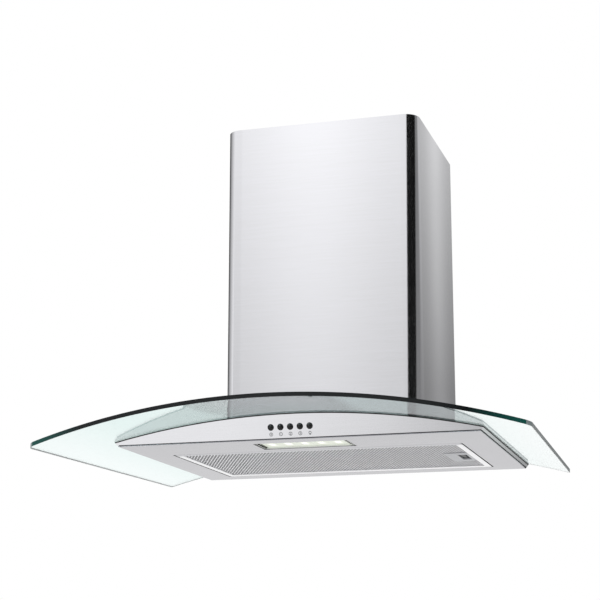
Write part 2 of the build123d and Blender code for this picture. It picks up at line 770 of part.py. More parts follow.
# ---------------------------------------------------------------- outlet collar and flaps
collar_inner = collar_radius - collar_wall
flap_z = lid_top + flap_height
ledge_top = flap_z - flap_thickness / 2 - seat_gap
with BuildPart() as outlet_collar:
    with BuildSketch(Plane.XY.offset(lid_top)):
        with Locations((0, throat_y)):
            Circle(collar_radius)
    extrude(amount=collar_height)
    with BuildSketch(Plane.XY.offset(lid_top)):
        with Locations((0, throat_y)):
            Circle(collar_flange_radius)
            with GridLocations(collar_screw_pitch, collar_screw_pitch, 2, 2):
                Circle(small_screw_radius + screw_hole_play, mode=Mode.SUBTRACT)
    extrude(amount=collar_flange)
    with BuildSketch(Plane.XY.offset(lid_top)):
        with Locations((0, throat_y)):
            Circle(collar_inner)
    extrude(amount=collar_height, mode=Mode.SUBTRACT)
    with BuildSketch(Plane.XY.offset(ledge_top - ledge_thickness)):  # the flaps close on this ledge
        with Locations((0, throat_y)):
            Circle(collar_inner + collar_wall / 2)
            Circle(collar_inner - ledge_width, mode=Mode.SUBTRACT)
    extrude(amount=ledge_thickness)
    with BuildSketch(Plane.YZ.offset(-collar_radius)):
        with Locations((throat_y, flap_z)):
            Circle(flap_pin_radius + thread_play)
    extrude(amount=2 * collar_radius, mode=Mode.SUBTRACT)
outlet_collar.part.label = "outlet_collar"
export_step(outlet_collar.part, "parts/outlet_collar.step")

with BuildPart() as collar_screws:
    with BuildSketch(Plane.XY.offset(lid_top + collar_flange)):
        with Locations((0, throat_y)):
            with GridLocations(collar_screw_pitch, collar_screw_pitch, 2, 2):
                Circle(small_screw_head)
    extrude(amount=small_screw_head_height)
    with BuildSketch(Plane.XY.offset(lid_top + collar_flange)):
        with Locations((0, throat_y)):
            with GridLocations(collar_screw_pitch, collar_screw_pitch, 2, 2):
                Circle(small_screw_radius)
    extrude(amount=-(collar_flange + lid_sheet + scroll_flange_thickness + sheet))
collar_screws.part.label = "collar_screws"
export_step(collar_screws.part, "parts/collar_screws.step")

with BuildPart() as flap_pin:
    pin_half = collar_radius - collar_wall / 2
    with BuildSketch(Plane.YZ.offset(-pin_half)):
        with Locations((throat_y, flap_z)):
            Circle(flap_pin_radius)
    extrude(amount=2 * pin_half)
flap_pin.part.label = "flap_pin"
export_step(flap_pin.part, "parts/flap_pin.step")

hinge_clear = knuckle_radius + knuckle_clear
outer_knuckle = (knuckle_end + knuckle_split + moving_gap) / 2
outer_length = knuckle_end - knuckle_split - moving_gap
flap_knuckles = {
    "flap_front": (-1, [(-outer_knuckle, outer_length), (outer_knuckle, outer_length)]),
    "flap_rear": (1, [(0, 2 * knuckle_split)]),
}
for name, (side, knuckles) in flap_knuckles.items():
    with BuildPart() as flap:
        with BuildSketch(Plane.XY.offset(flap_z - flap_thickness / 2)):
            with Locations((0, throat_y)):
                Circle(collar_inner - flap_edge_gap)
                with Locations((0, side * hinge_clear)):
                    away = Align.MAX if side > 0 else Align.MIN
                    Rectangle(
                        2 * collar_radius,
                        2 * collar_radius,
                        align=(Align.CENTER, away),
                        mode=Mode.SUBTRACT,
                    )
                for knuckle_x, knuckle_length in knuckles:
                    with Locations((knuckle_x, side * hinge_clear / 2)):
                        Rectangle(knuckle_length, hinge_clear)
        extrude(amount=flap_thickness)
        for knuckle_x, knuckle_length in knuckles:
            with BuildSketch(Plane.YZ.offset(knuckle_x - knuckle_length / 2)):
                with Locations((throat_y, flap_z)):
                    Circle(knuckle_radius)
            extrude(amount=knuckle_length)
        with BuildSketch(Plane.YZ.offset(-collar_radius)):
            with Locations((throat_y, flap_z)):
                Circle(flap_pin_radius + running_fit)
        extrude(amount=2 * collar_radius, mode=Mode.SUBTRACT)
    flap.part.label = name
    export_step(flap.part, f"parts/{name}.step")

# ---------------------------------------------------------------- electrical pieces on the blower box
terminal_inner_x = box_width / 2
terminal_outer_x = terminal_inner_x + terminal_depth
terminal_z = terminal_top - terminal_height / 2
with BuildPart() as terminal_box:
    with BuildSketch(Plane.YZ.offset(terminal_inner_x)):
        with Locations((duct_y, terminal_z)):
            RectangleRounded(terminal_width, terminal_height, terminal_wall)
    extrude(amount=terminal_depth - terminal_wall)
    with BuildSketch(Plane.YZ.offset(terminal_inner_x + terminal_wall)):
        with Locations((duct_y, terminal_z)):
            Rectangle(terminal_width - 2 * terminal_wall, terminal_height - 2 * terminal_wall)
    extrude(amount=terminal_depth, mode=Mode.SUBTRACT)
    with BuildSketch(Plane.XY.offset(terminal_top - 2 * terminal_wall)):
        with Locations(((terminal_inner_x + terminal_outer_x - terminal_wall) / 2, duct_y)):
            Circle(gland_bore)
    extrude(amount=4 * terminal_wall, mode=Mode.SUBTRACT)
terminal_box.part.label = "terminal_box"
export_step(terminal_box.part, "parts/terminal_box.step")

with BuildPart() as terminal_lid:
    with BuildSketch(Plane.YZ.offset(terminal_outer_x - terminal_wall)):
        with Locations((duct_y, terminal_z)):
            RectangleRounded(terminal_width, terminal_height, terminal_wall)
    extrude(amount=terminal_wall)
terminal_lid.part.label = "terminal_lid"
export_step(terminal_lid.part, "parts/terminal_lid.step")

with BuildPart() as terminal_block:
    block_x = terminal_inner_x + terminal_wall
    with BuildSketch(Plane.YZ.offset(block_x)):
        with Locations((duct_y, terminal_z)):
            Rectangle(terminal_width / 2, terminal_height / 3)
    extrude(amount=terminal_depth / 3)
    with BuildSketch(Plane.YZ.offset(block_x + terminal_depth / 3)):
        with Locations((duct_y, terminal_z)):
            with GridLocations(terminal_width / 6, terminal_height / 6, 3, 2):
                Circle(small_screw_radius)
    extrude(amount=-terminal_depth / 6, mode=Mode.SUBTRACT)
terminal_block.part.label = "terminal_block"
export_step(terminal_block.part, "parts/terminal_block.step")

with BuildPart() as cable_gland:
    with BuildSketch(Plane.XY.offset(terminal_top)):
        with Locations(((terminal_inner_x + terminal_outer_x - terminal_wall) / 2, duct_y)):
            Circle(gland_radius)
    extrude(amount=gland_height)
    fillet(cable_gland.edges().filter_by(GeomType.CIRCLE).group_by(Axis.Z)[-1], sheet)
    with BuildSketch(Plane.XY.offset(terminal_top)):
        with Locations(((terminal_inner_x + terminal_outer_x - terminal_wall) / 2, duct_y)):
            Circle(gland_bore)
    extrude(amount=gland_height, mode=Mode.SUBTRACT)
cable_gland.part.label = "cable_gland"
export_step(cable_gland.part, "parts/cable_gland.step")

capacitor_x = -box_width / 2 - clip_sheet - capacitor_radius - thread_play
capacitor_foot = terminal_top - capacitor_height
with BuildPart() as capacitor:
    with BuildSketch(Plane.XY.offset(capacitor_foot)):
        with Locations((capacitor_x, duct_y)):
            Circle(capacitor_radius)
    extrude(amount=capacitor_height)
    fillet(capacitor.edges().filter_by(GeomType.CIRCLE), sheet)
capacitor.part.label = "capacitor"
export_step(capacitor.part, "parts/capacitor.step")

with BuildPart() as capacitor_clip:
    with BuildSketch(Plane.XY.offset(capacitor_foot + capacitor_height / 2 - clip_height / 2)):
        with Locations((capacitor_x, duct_y)):
            Circle(capacitor_radius + clip_sheet)
        with Locations((-box_width / 2 - clip_sheet / 2, duct_y)):
            Rectangle(clip_sheet, 3 * capacitor_radius)
        with Locations((capacitor_x, duct_y)):
            Circle(capacitor_radius + thread_play, mode=Mode.SUBTRACT)
    extrude(amount=clip_height)
capacitor_clip.part.label = "capacitor_clip"
export_step(capacitor_clip.part, "parts/capacitor_clip.step")

# ---------------------------------------------------------------- wall hooks
with BuildPart() as wall_hooks:
    shelf_reach = box_back_gap + sheet + loose_fit + hook_sheet
    with BuildSketch(Plane.YZ):
        with Locations((0, hook_level - hook_sheet)):
            Rectangle(hook_sheet, hook_height, align=(Align.MAX, Align.MIN))
            Rectangle(shelf_reach, hook_sheet, align=(Align.MAX, Align.MIN))
        with Locations((-shelf_reach, hook_level - hook_sheet)):
            Rectangle(hook_sheet, hook_sheet + hook_lip, align=(Align.MIN, Align.MIN))
    extrude(amount=hook_width / 2, both=True)
    with BuildSketch(Plane.XZ.offset(-cut)):
        with Locations((0, hook_level + hook_hole_up)):
            Circle(hook_hole)
    extrude(amount=cut + 2 * hook_sheet, mode=Mode.SUBTRACT)
hook_pair = [wall_hooks.part.moved(Location((x, 0, 0))) for x in (-hook_pitch / 2, hook_pitch / 2)]
with BuildPart() as wall_hook_pair:
    add(hook_pair)
wall_hook_pair.part.label = "wall_hooks"
export_step(wall_hook_pair.part, "parts/wall_hooks.step")

# ---------------------------------------------------------------- underside panel
opening_left = filter_left - hinge_seam
opening_right = filter_right + filter_seam
opening_depth = filter_depth + 2 * filter_seam
rim_left = opening_left - hinge_rim_gap
hinge_x = filter_left + hinge_inset
with BuildPart() as underside_panel:
    with BuildSketch(Plane.XY):
        with Locations((0, -sheet - thread_play)):
            Rectangle(body_width, body_depth - sheet - thread_play, align=(Align.CENTER, Align.MAX))
    extrude(amount=sheet)
    with BuildSketch(Plane.XY.offset(sheet)):  # rim folded up round the filter opening
        with Locations(((rim_left + opening_right) / 2, filter_centre_y)):
            Rectangle(opening_right - rim_left + 2 * sheet, opening_depth + 2 * sheet)
            Rectangle(opening_right - rim_left, opening_depth, mode=Mode.SUBTRACT)
    extrude(amount=rim_height - sheet)
    with BuildSketch(Plane.XY):
        with Locations(((opening_left + opening_right) / 2, filter_centre_y)):
            Rectangle(opening_right - opening_left, opening_depth)
        with Locations((0, lamp_centre_y)):
            Rectangle(lamp_width, lamp_depth)
    extrude(amount=sheet, mode=Mode.SUBTRACT)
    with BuildSketch(Plane.XZ.offset(-cut)):
        with Locations((hinge_x, hinge_height)):
            Circle(pin_radius + running_fit)
    extrude(amount=body_depth + cut, mode=Mode.SUBTRACT)
underside_panel.part.label = "underside_panel"
export_step(underside_panel.part, "parts/underside_panel.step")

# ---------------------------------------------------------------- grease filter
latch_case_right = latch_plate_right - (latch_plate_width - latch_case_width) / 4
latch_case_x = latch_case_right - latch_case_width / 2
case_top = filter_height - filter_sheet - thread_play
tongue_foot = hinge_height + moving_gap
with BuildPart() as filter_frame:
    with BuildSketch(Plane.XY):
        with Locations((0, filter_centre_y)):
            RectangleRounded(filter_width, filter_depth, filter_corner)
    extrude(amount=filter_height)
    with BuildSketch(Plane.XY.offset(filter_sheet)):
        with Locations((0, filter_centre_y)):
            Rectangle(filter_width - 2 * filter_sheet, filter_depth - 2 * filter_sheet)
    extrude(amount=filter_height - 2 * filter_sheet, mode=Mode.SUBTRACT)
    with BuildSketch(Plane.XY):
        with Locations((0, filter_centre_y)):
            Rectangle(filter_width - 2 * filter_lip_side, filter_depth - 2 * filter_lip_end)
    extrude(amount=filter_height, mode=Mode.SUBTRACT)
    with BuildSketch(Plane.XZ.offset(-cut)):
        with Locations((hinge_x, hinge_height)):
            Circle(pin_radius + thread_play)
    extrude(amount=body_depth + cut, mode=Mode.SUBTRACT)
    with BuildSketch(Plane.YZ.offset(filter_right - 2 * filter_sheet)):
        with Locations((latch_centre_y, tongue_foot + tongue_height / 2)):
            Rectangle(tongue_width + 2 * moving_gap, tongue_height + 2 * moving_gap)
    extrude(amount=4 * filter_sheet, mode=Mode.SUBTRACT)
filter_frame.part.label = "filter_frame"
export_step(filter_frame.part, "parts/filter_frame.step")

core_foot = filter_sheet + mesh_thickness
core_pitch = (case_top - core_foot - core_layer_thickness) / (core_layers - 1)
mesh_layers = {
    "filter_mesh": (filter_sheet, mesh_thickness, 1),
    "filter_core": (core_foot, core_layer_thickness, core_layers),
}
for name, (layer_foot, layer_thickness, layer_count) in mesh_layers.items():
    with BuildPart() as mesh_layer:
        layer_planes = [Plane.XY.offset(layer_foot + layer * core_pitch) for layer in range(layer_count)]
        with BuildSketch(*layer_planes):
            with Locations((0, filter_centre_y)):
                inner_width = filter_width - 2 * filter_sheet - 2 * loose_fit
                inner_depth = filter_depth - 2 * filter_sheet - 2 * loose_fit
                Rectangle(inner_width, inner_depth)
            with Locations((latch_case_x, latch_centre_y)):
                case_hole_width = latch_case_width + 2 * loose_fit
                case_hole_depth = latch_case_depth + 2 * loose_fit
                Rectangle(case_hole_width, case_hole_depth, mode=Mode.SUBTRACT)
            with Locations((filter_right, latch_centre_y)):  # the latch's tongue passes through here
                way_length = filter_right - latch_case_x
                way_width = tongue_width + 2 * moving_gap
                way_align = (Align.MAX, Align.CENTER)
                Rectangle(way_length, way_width, align=way_align, mode=Mode.SUBTRACT)
            with Locations((hinge_x, filter_centre_y)):  # and the hinge pins end here
                with GridLocations(1, filter_depth, 1, 2):
                    Rectangle(4 * pin_radius, 2 * pin_length, mode=Mode.SUBTRACT)
        extrude(amount=layer_thickness)
    mesh_layer.part.label = name
    export_step(mesh_layer.part, f"parts/{name}.step")

pin_out = filter_seam + 2 * sheet
with BuildPart() as filter_pins:
    with BuildSketch(Plane.XZ.offset(-filter_back - pin_out)):
        with Locations((hinge_x, hinge_height)):
            Circle(pin_radius)
    extrude(amount=pin_length)
    with BuildSketch(Plane.XZ.offset(-filter_front + pin_out)):
        with Locations((hinge_x, hinge_height)):
            Circle(pin_radius)
    extrude(amount=-pin_length)
filter_pins.part.label = "filter_pins"
export_step(filter_pins.part, "parts/filter_pins.step")

# ---------------------------------------------------------------- filter latch
window_x = latch_window_right - latch_window_width / 2
cavity_foot = filter_sheet + latch_plate_sheet
cavity_top = case_top - latch_case_wall / 2
with BuildPart() as latch_case:
    with BuildSketch(Plane.XY.offset(filter_sheet - latch_plate_sheet)):
        with Locations((latch_plate_right - latch_plate_width / 2, latch_centre_y)):
            RectangleRounded(latch_plate_width, latch_plate_depth, filter_corner)
    extrude(amount=latch_plate_sheet)
    with BuildSketch(Plane.XY.offset(filter_sheet)):
        with Locations((latch_case_x, latch_centre_y)):
            Rectangle(latch_case_width, latch_case_depth)
    extrude(amount=case_top - filter_sheet)
    with BuildSketch(Plane.XY.offset(cavity_foot)):
        with Locations((latch_case_x, latch_centre_y)):
            cavity_width = latch_case_width - 2 * latch_case_wall
            cavity_depth = latch_case_depth - 2 * latch_case_wall
            Rectangle(cavity_width, cavity_depth)
    extrude(amount=cavity_top - cavity_foot, mode=Mode.SUBTRACT)
    with BuildSketch(Plane.XY):
        with Locations((window_x, latch_centre_y)):
            RectangleRounded(latch_window_width, latch_window_depth, filter_corner / 2)
    extrude(amount=cavity_top, mode=Mode.SUBTRACT)
    with BuildSketch(Plane.YZ.offset(latch_case_x)):
        with Locations((latch_centre_y, tongue_foot + tongue_height / 2)):
            Rectangle(tongue_width + 2 * moving_gap, tongue_height + 2 * moving_gap)
    extrude(amount=latch_case_width, mode=Mode.SUBTRACT)
latch_case.part.label = "latch_case"
export_step(latch_case.part, "parts/latch_case.step")

slider_foot = tongue_foot + tongue_height - slider_height
with BuildPart() as filter_latch:
    with BuildSketch(Plane.XY.offset(slider_foot)):
        with Locations((slider_left, latch_centre_y)):
            Rectangle(slider_width, slider_depth, align=(Align.MIN, Align.CENTER))
    extrude(amount=slider_height)
    with BuildSketch(Plane.XY.offset(tongue_foot)):
        with Locations((slider_left + slider_width / 2, latch_centre_y)):
            tongue_length = filter_right + tongue_reach - slider_left - slider_width / 2
            Rectangle(tongue_length, tongue_width, align=(Align.MIN, Align.CENTER))
    extrude(amount=tongue_height)
filter_latch.part.label = "filter_latch"
export_step(filter_latch.part, "parts/filter_latch.step")

spring_foot_x = latch_case_x - cavity_width / 2 + spring_wire + thread_play
spring_end_x = slider_left - spring_wire - thread_play
spring_length = spring_end_x - spring_foot_x
spring_z = slider_foot + slider_height / 2
with BuildPart() as latch_spring:
    with BuildLine():
        spring_path = Helix(
            pitch=spring_length / spring_turns,
            height=spring_length,
            radius=spring_radius,
            center=(spring_foot_x, latch_centre_y, spring_z),
            direction=(1, 0, 0),
        )
    with BuildSketch(Plane(origin=spring_path @ 0, z_dir=spring_path % 0)):
        Circle(spring_wire)
    sweep(is_frenet=True)
latch_spring.part.label = "latch_spring"
export_step(latch_spring.part, "parts/latch_spring.step")

# ---------------------------------------------------------------- lamp
lip_width = lamp_width - 2 * moving_gap
lip_depth = lamp_depth - 2 * moving_gap
light_width = lip_width - 2 * lamp_lip
light_depth = lip_depth - 2 * lamp_lip
tray_width = lamp_width + 2 * lamp_flange
tray_depth = lamp_depth + 2 * lamp_flange
ledge_z = sheet + lamp_sheet
wall_width = lamp_width + lamp_flange
wall_depth = lamp_depth + lamp_flange
with BuildPart() as lamp_housing:
    with BuildSketch(Plane.XY.offset(lamp_lip_drop)):
        with Locations((0, lamp_centre_y)):
            Rectangle(lip_width, lip_depth)
    extrude(amount=ledge_z - lamp_lip_drop)
    with BuildSketch(Plane.XY.offset(sheet)):
        with Locations((0, lamp_centre_y)):
            Rectangle(tray_width, tray_depth)
    extrude(amount=lamp_sheet)
    with BuildSketch(Plane.XY.offset(ledge_z)):
        with Locations((0, lamp_centre_y)):
            Rectangle(wall_width, wall_depth)
            Rectangle(wall_width - 2 * lamp_wall, wall_depth - 2 * lamp_wall, mode=Mode.SUBTRACT)
    extrude(amount=lamp_height - ledge_z)
    with BuildSketch(Plane.XY):
        with Locations((0, lamp_centre_y)):
            Rectangle(light_width, light_depth)
            with GridLocations(light_width, light_depth / rib_count, 2, rib_count):
                Rectangle(2 * rib_depth, rib_width, mode=Mode.SUBTRACT)
    extrude(amount=lamp_height, mode=Mode.SUBTRACT)
lamp_housing.part.label = "lamp_housing"
export_step(lamp_housing.part, "parts/lamp_housing.step")

lens_width = wall_width - 2 * lamp_wall - 2 * loose_fit
lens_depth = wall_depth - 2 * lamp_wall - 2 * loose_fit
with BuildPart() as lamp_lens:
    with BuildSketch(Plane.XY.offset(ledge_z)):
        with Locations((0, lamp_centre_y)):
            Rectangle(lens_width, lens_depth)
    extrude(amount=lens_thickness)
lamp_lens.part.label = "lamp_lens"
export_step(lamp_lens.part, "parts/lamp_lens.step")

with BuildPart() as led_board:
    with BuildSketch(Plane.XY.offset(lamp_height)):
        with Locations((0, lamp_centre_y)):
            Rectangle(wall_width, wall_depth)
    extrude(amount=board_thickness)
led_board.part.label = "led_board"
export_step(led_board.part, "parts/led_board.step")

with BuildPart() as led_chips:
    with BuildSketch(Plane.XY.offset(lamp_height)):
        with Locations((0, lamp_centre_y)):
            with GridLocations(chip_pitch, 1, chip_count, 1):
                Rectangle(chip_size, chip_size)
    extrude(amount=-chip_height)
led_chips.part.label = "led_chips"
export_step(led_chips.part, "parts/led_chips.step")

driver_x = tray_width / 2 + driver_width / 2 + driver_gap
with BuildPart() as led_driver:
    with BuildSketch(Plane.XY.offset(sheet)):
        with Locations((driver_x, lamp_centre_y)):
            RectangleRounded(driver_width, driver_depth, filter_corner)
    extrude(amount=driver_height)
led_driver.part.label = "led_driver"
export_step(led_driver.part, "parts/led_driver.step")

# ---------------------------------------------------------------- push buttons and their switches
with BuildPart() as button_guide:
    with BuildSketch(fascia_plane(button_row_x, button_up, sheet)):
        Rectangle(guide_width, guide_height)
    extrude(amount=-guide_depth)
    with BuildSketch(fascia_plane(button_row_x, button_up, sheet)):
        with GridLocations(button_pitch, 1, button_count, 1):
            Circle(button_radius + moving_gap)
    extrude(amount=-(guide_depth - guide_floor), mode=Mode.SUBTRACT)
    with BuildSketch(fascia_plane(button_row_x, button_up, sheet)):
        with GridLocations(button_pitch, 1, button_count, 1):
            Circle(stem_radius + running_fit)
        with GridLocations(switch_screw_pitch, 1, 2, 1):
            Circle(tiny_screw_radius + thread_play)
    extrude(amount=-guide_depth, mode=Mode.SUBTRACT)
button_guide.part.label = "button_guide"
export_step(button_guide.part, "parts/button_guide.step")

switch_in = sheet + guide_depth
with BuildPart() as switch_block:
    with BuildSketch(fascia_plane(button_row_x, button_up, switch_in)):
        Rectangle(switch_flange_width, guide_height - 2 * sheet)
    extrude(amount=-switch_flange)
    with BuildSketch(fascia_plane(button_row_x, button_up, switch_in)):
        Rectangle(switch_width, guide_height)
    extrude(amount=-switch_depth)
    with BuildSketch(fascia_plane(button_row_x, button_up, switch_in)):
        with GridLocations(button_pitch, 1, button_count, 1):
            Circle(stem_radius + moving_gap)
    extrude(amount=-(switch_depth - switch_bore_floor), mode=Mode.SUBTRACT)
    with BuildSketch(fascia_plane(button_row_x, button_up, switch_in)):
        with GridLocations(switch_screw_pitch, 1, 2, 1):
            Circle(tiny_screw_radius + screw_hole_play)
    extrude(amount=-switch_flange, mode=Mode.SUBTRACT)
switch_block.part.label = "switch_block"
export_step(switch_block.part, "parts/switch_block.step")

with BuildPart() as switch_screws:
    with BuildSketch(fascia_plane(button_row_x, button_up, switch_in + switch_flange)):
        with GridLocations(switch_screw_pitch, 1, 2, 1):
            Circle(tiny_screw_head)
    extrude(amount=-tiny_screw_head_height)
    with BuildSketch(fascia_plane(button_row_x, button_up, switch_in + switch_flange)):
        with GridLocations(switch_screw_pitch, 1, 2, 1):
            Circle(tiny_screw_radius)
    extrude(amount=switch_flange + guide_depth / 2)
switch_screws.part.label = "switch_screws"
export_step(switch_screws.part, "parts/switch_screws.step")

dome_height = button_dome - button_rim
dome_radius = (button_radius**2 + dome_height**2) / (2 * dome_height)
dome_half_way = button_dome - dome_radius + math.sqrt(dome_radius**2 - button_radius**2 / 4)
button_names = ["button_off", "button_speed_1", "button_speed_2", "button_speed_3", "button_lamp"]
first_button_x = button_row_x - button_pitch * (button_count - 1) / 2
for place, name in enumerate(button_names):
    face = fascia_plane(first_button_x + place * button_pitch, button_up)
    with BuildPart() as button:
        with BuildSketch(Plane(origin=face.origin, x_dir=face.x_dir, z_dir=-face.y_dir)):
            skirt = -sheet - button_skirt
            with BuildLine():
                Polyline(
                    (0, button_dome),
                    (0, -stem_length),
                    (stem_radius, -stem_length),
                    (stem_radius, skirt),
                    (button_radius, skirt),
                    (button_radius, button_rim),
                )
                ThreePointArc(
                    (button_radius, button_rim),
                    (button_radius / 2, dome_half_way),
                    (0, button_dome),
                )
            make_face()
        revolve(axis=Axis(face.origin, face.z_dir))
    button.part.label = name
    export_step(button.part, f"parts/{name}.step")
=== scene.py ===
import bmesh
import bpy
import math
from mathutils import Matrix, Vector


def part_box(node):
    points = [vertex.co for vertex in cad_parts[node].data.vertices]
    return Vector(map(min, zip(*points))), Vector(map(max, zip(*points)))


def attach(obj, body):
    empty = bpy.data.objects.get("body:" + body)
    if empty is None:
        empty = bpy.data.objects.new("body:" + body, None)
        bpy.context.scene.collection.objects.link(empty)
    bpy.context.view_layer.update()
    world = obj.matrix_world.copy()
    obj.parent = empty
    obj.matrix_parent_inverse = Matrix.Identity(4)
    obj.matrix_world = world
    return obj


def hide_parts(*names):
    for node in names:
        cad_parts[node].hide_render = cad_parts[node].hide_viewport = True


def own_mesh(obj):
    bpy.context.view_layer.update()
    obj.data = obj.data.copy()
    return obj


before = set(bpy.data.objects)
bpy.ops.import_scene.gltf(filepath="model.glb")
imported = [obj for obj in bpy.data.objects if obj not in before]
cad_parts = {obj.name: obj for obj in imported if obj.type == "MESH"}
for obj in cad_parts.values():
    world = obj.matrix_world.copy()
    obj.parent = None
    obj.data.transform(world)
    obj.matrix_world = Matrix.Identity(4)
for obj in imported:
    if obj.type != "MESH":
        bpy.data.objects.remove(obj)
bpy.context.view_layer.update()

# Sizes of the hood in millimetres, as its metalwork and glass are cut. Everything is turned to metres when
# built. Places are counted from the middle of the wall plane, with Y towards the wall.
MM = 0.001
SHEET = 1.0

ARCH_CENTRE_Z = -1032.0
GLASS_UNDERSIDE = 1063.0
GLASS_TOP = 1068.0
GLASS_FRONT_WIDTH = 600.0
GLASS_BACK_WIDTH = 573.0
GLASS_DEPTH = 466.5
GLASS_BOW = 19.4
GLASS_BACK_GAP = 2.0
GLASS_FRONT_CORNER = 9.5
GLASS_BACK_CORNER = 4.0
GLASS_SLICE = 6.0
GLASS_ARRIS = 0.5
GLASS_CUT_HALF_WIDTH = 92.0
GLASS_CUT_FRONT = -200.0
GLASS_CUT_BACK = -30.0

# The glass over the body is tinted deeper than its wings, and dips a little at its front, above the buttons.
# A pair is where a change starts and where it is whole, in |X| for a width and in Y for a length.
WING_WIDTH = (190.0, 280.0)
DIP_WIDTH = (105.0, 42.0)
DIP_LENGTH = (-330.0, -466.5)
DIP_TINT_LENGTH = (-345.0, -430.0)
DIP_DEPTH = 2.7
GREEN_EDGE_WIDTH = (230.0, 300.0)

COVER_WIDTH = 263.2
COVER_DEPTH = 225.8
COVER_TOP = 443.0
COVER_CORNER = 20.0
COVER_LIP = 12.0
COVER_NEST = 1.6
COVER_SLICE = 6.0
COVER_GLASS_GAP = 0.3
UPPER_FOOT = 54.0
UPPER_TOP_DROP = 2.0

FASCIA_LEAN = math.radians(15.1)
BODY_DEPTH = 347.0
BUTTON_ROW_X = -3.05
BUTTON_PITCH = 12.15
BUTTON_UP = 15.4
MARK_UP = 6.8
MARK_HEIGHT = 3.2
MARK_LIFT = 0.03
MARK_INK = 0.02

FILTER_CENTRE_Y = -145.0
# The filter frame's front lip is painted in shade: where that starts and where it is whole, in Y
FRONT_LIP_SHADE = (-243.0, -246.0)
CORE_SHADE_RISE = (3.0, 6.0)
MESH_HALF_WIDTH = 178.0
MESH_HALF_DEPTH = 100.0
MESH_OVERLAP = 3.0
MESH_DIAMOND = (4.4, 9.6)
MESH_CELLS = 128
MESH_STRAND = 0.52
MESH_FACE_Z = 1.05
MESH_WALL = 0.25
LATCH_WINDOW_X = (147.4, 178.0)
LATCH_CENTRE_Y = -133.5
LATCH_WINDOW_REACH = 37.0

SPRING_WIRE = 0.25
SPRING_RADIUS = 1.5
SPRING_TURNS = 8

LAMP_CENTRE_Y = -297.0
CHIP_PITCH = 21.0
CHIP_GLOW_REACH = 13.0
RIB_PITCH = 7.17
SLOT_MIDDLE = 55.9
SLOT_REACH = 3.6
SLOT_SHIFT = 0.9

# The body's right and left sides, and the slit between the underside and the filter, in |X| and Y
# These are places where light and shade are painted: shade on the body's sides and in the slit, light on the
# seam.
BODY_SIDE_SHADE = ((226.5, 240.0), (-346.0, 1.0))
SEAM_SIDE_LIGHT = ((222.0, 240.0), (-343.0, 1.0))
FILTER_SLIT_SHADE = ((186.4, 188.0), (-258.0, -32.0))

# The studio's floor, in metres: its height, how bright metal and glass show it at each Y, and three darker
# areas. An area deepens from its first X to its second, and from its first Y and depth to its second.
FLOOR_Z = -0.75
FLOOR_RADIUS = 9.0
FLOOR_GLOW = ((-2.5, 1.13), (-2.05, 1.11), (-1.25, 0.66), (-0.6, 0.7), (1.8, 1.0), (3.5, 1.0))
FLOOR_SHADES = (
    ((-0.75, 0.15), (-1.2, -2.1), (0.0, 0.42)),
    ((-0.38, -0.02), (-1.9, -2.1), (0.0, 0.4)),
    ((0.3, 1.2), (5.6, 7.3), (0.12, 0.72)),
)


# ------------------------------------------------------------------ small helpers
def linear(hex_colour):
    """A colour written as sRGB hex, turned to the linear values that Blender's sockets take."""
    channels = [int(hex_colour[i : i + 2], 16) / 255 for i in (1, 3, 5)]
    return [c / 12.92 if c <= 0.04045 else ((c + 0.055) / 1.055) ** 2.4 for c in channels] + [1.0]


def add_node(tree, kind, inputs=None, **options):
    """Adds one node with its options. An input is an output of another node, which is linked, or a value."""
    made = tree.nodes.new(kind)
    for option, choice in options.items():
        setattr(made, option, choice)
    for place, given in (inputs or {}).items():
        if isinstance(given, bpy.types.NodeSocket):
            tree.links.new(given, made.inputs[place])
        else:
            made.inputs[place].default_value = given
    return made


def new_material(name):
    """An empty node material, its tree and its output node."""
    material = bpy.data.materials.new(name)
    material.use_nodes = True
    material.node_tree.nodes.clear()
    out = add_node(material.node_tree, "ShaderNodeOutputMaterial")
    return material, material.node_tree, out


def object_place(tree):
    """X, Y and Z of a place on the piece, in metres."""
    place = add_node(tree, "ShaderNodeTexCoord")
    parts = add_node(tree, "ShaderNodeSeparateXYZ", {"Vector": place.outputs["Object"]})
    return parts.outputs[0], parts.outputs[1], parts.outputs[2]


def grain(tree, size_mm, detail=3.0, rough=0.55):
    """Noise whose grains are size_mm long along X, Y and Z: its height, and its tone stretched to 0 to 1."""
    place = add_node(tree, "ShaderNodeTexCoord")
    scale = [1000.0 / s for s in size_mm]
    mapped = add_node(tree, "ShaderNodeMapping", {"Vector": place.outputs["Object"], "Scale": scale})
    noise = add_node(
        tree,
        "ShaderNodeTexNoise",
        {"Vector": mapped.outputs[0], "Scale": 1.0, "Detail": detail, "Roughness": rough},
    )
    tone = add_node(tree, "ShaderNodeMapRange", {"Value": noise.outputs[0], "From Min": 0.3, "From Max": 0.7})
    return noise.outputs[0], tone.outputs[0]


def between_places(tree, value, low_mm, high_mm):
    """1 where the value lies between the two places, 0 elsewhere."""
    past = add_node(tree, "ShaderNodeMath", {0: value, 1: low_mm * MM}, operation="GREATER_THAN")
    short = add_node(tree, "ShaderNodeMath", {0: value, 1: high_mm * MM}, operation="LESS_THAN")
    both = add_node(tree, "ShaderNodeMath", {0: past.outputs[0], 1: short.outputs[0]}, operation="MULTIPLY")
    return both.outputs[0]


def within_place(tree, x_mm, y_mm):
    """1 within a range of |X| and of Y, 0 elsewhere."""
    x, y, _ = object_place(tree)
    away = add_node(tree, "ShaderNodeMath", {0: x}, operation="ABSOLUTE")
    aside = between_places(tree, away.outputs[0], *x_mm)
    along = between_places(tree, y, *y_mm)
    return add_node(tree, "ShaderNodeMath", {0: aside, 1: along}, operation="MULTIPLY").outputs[0]


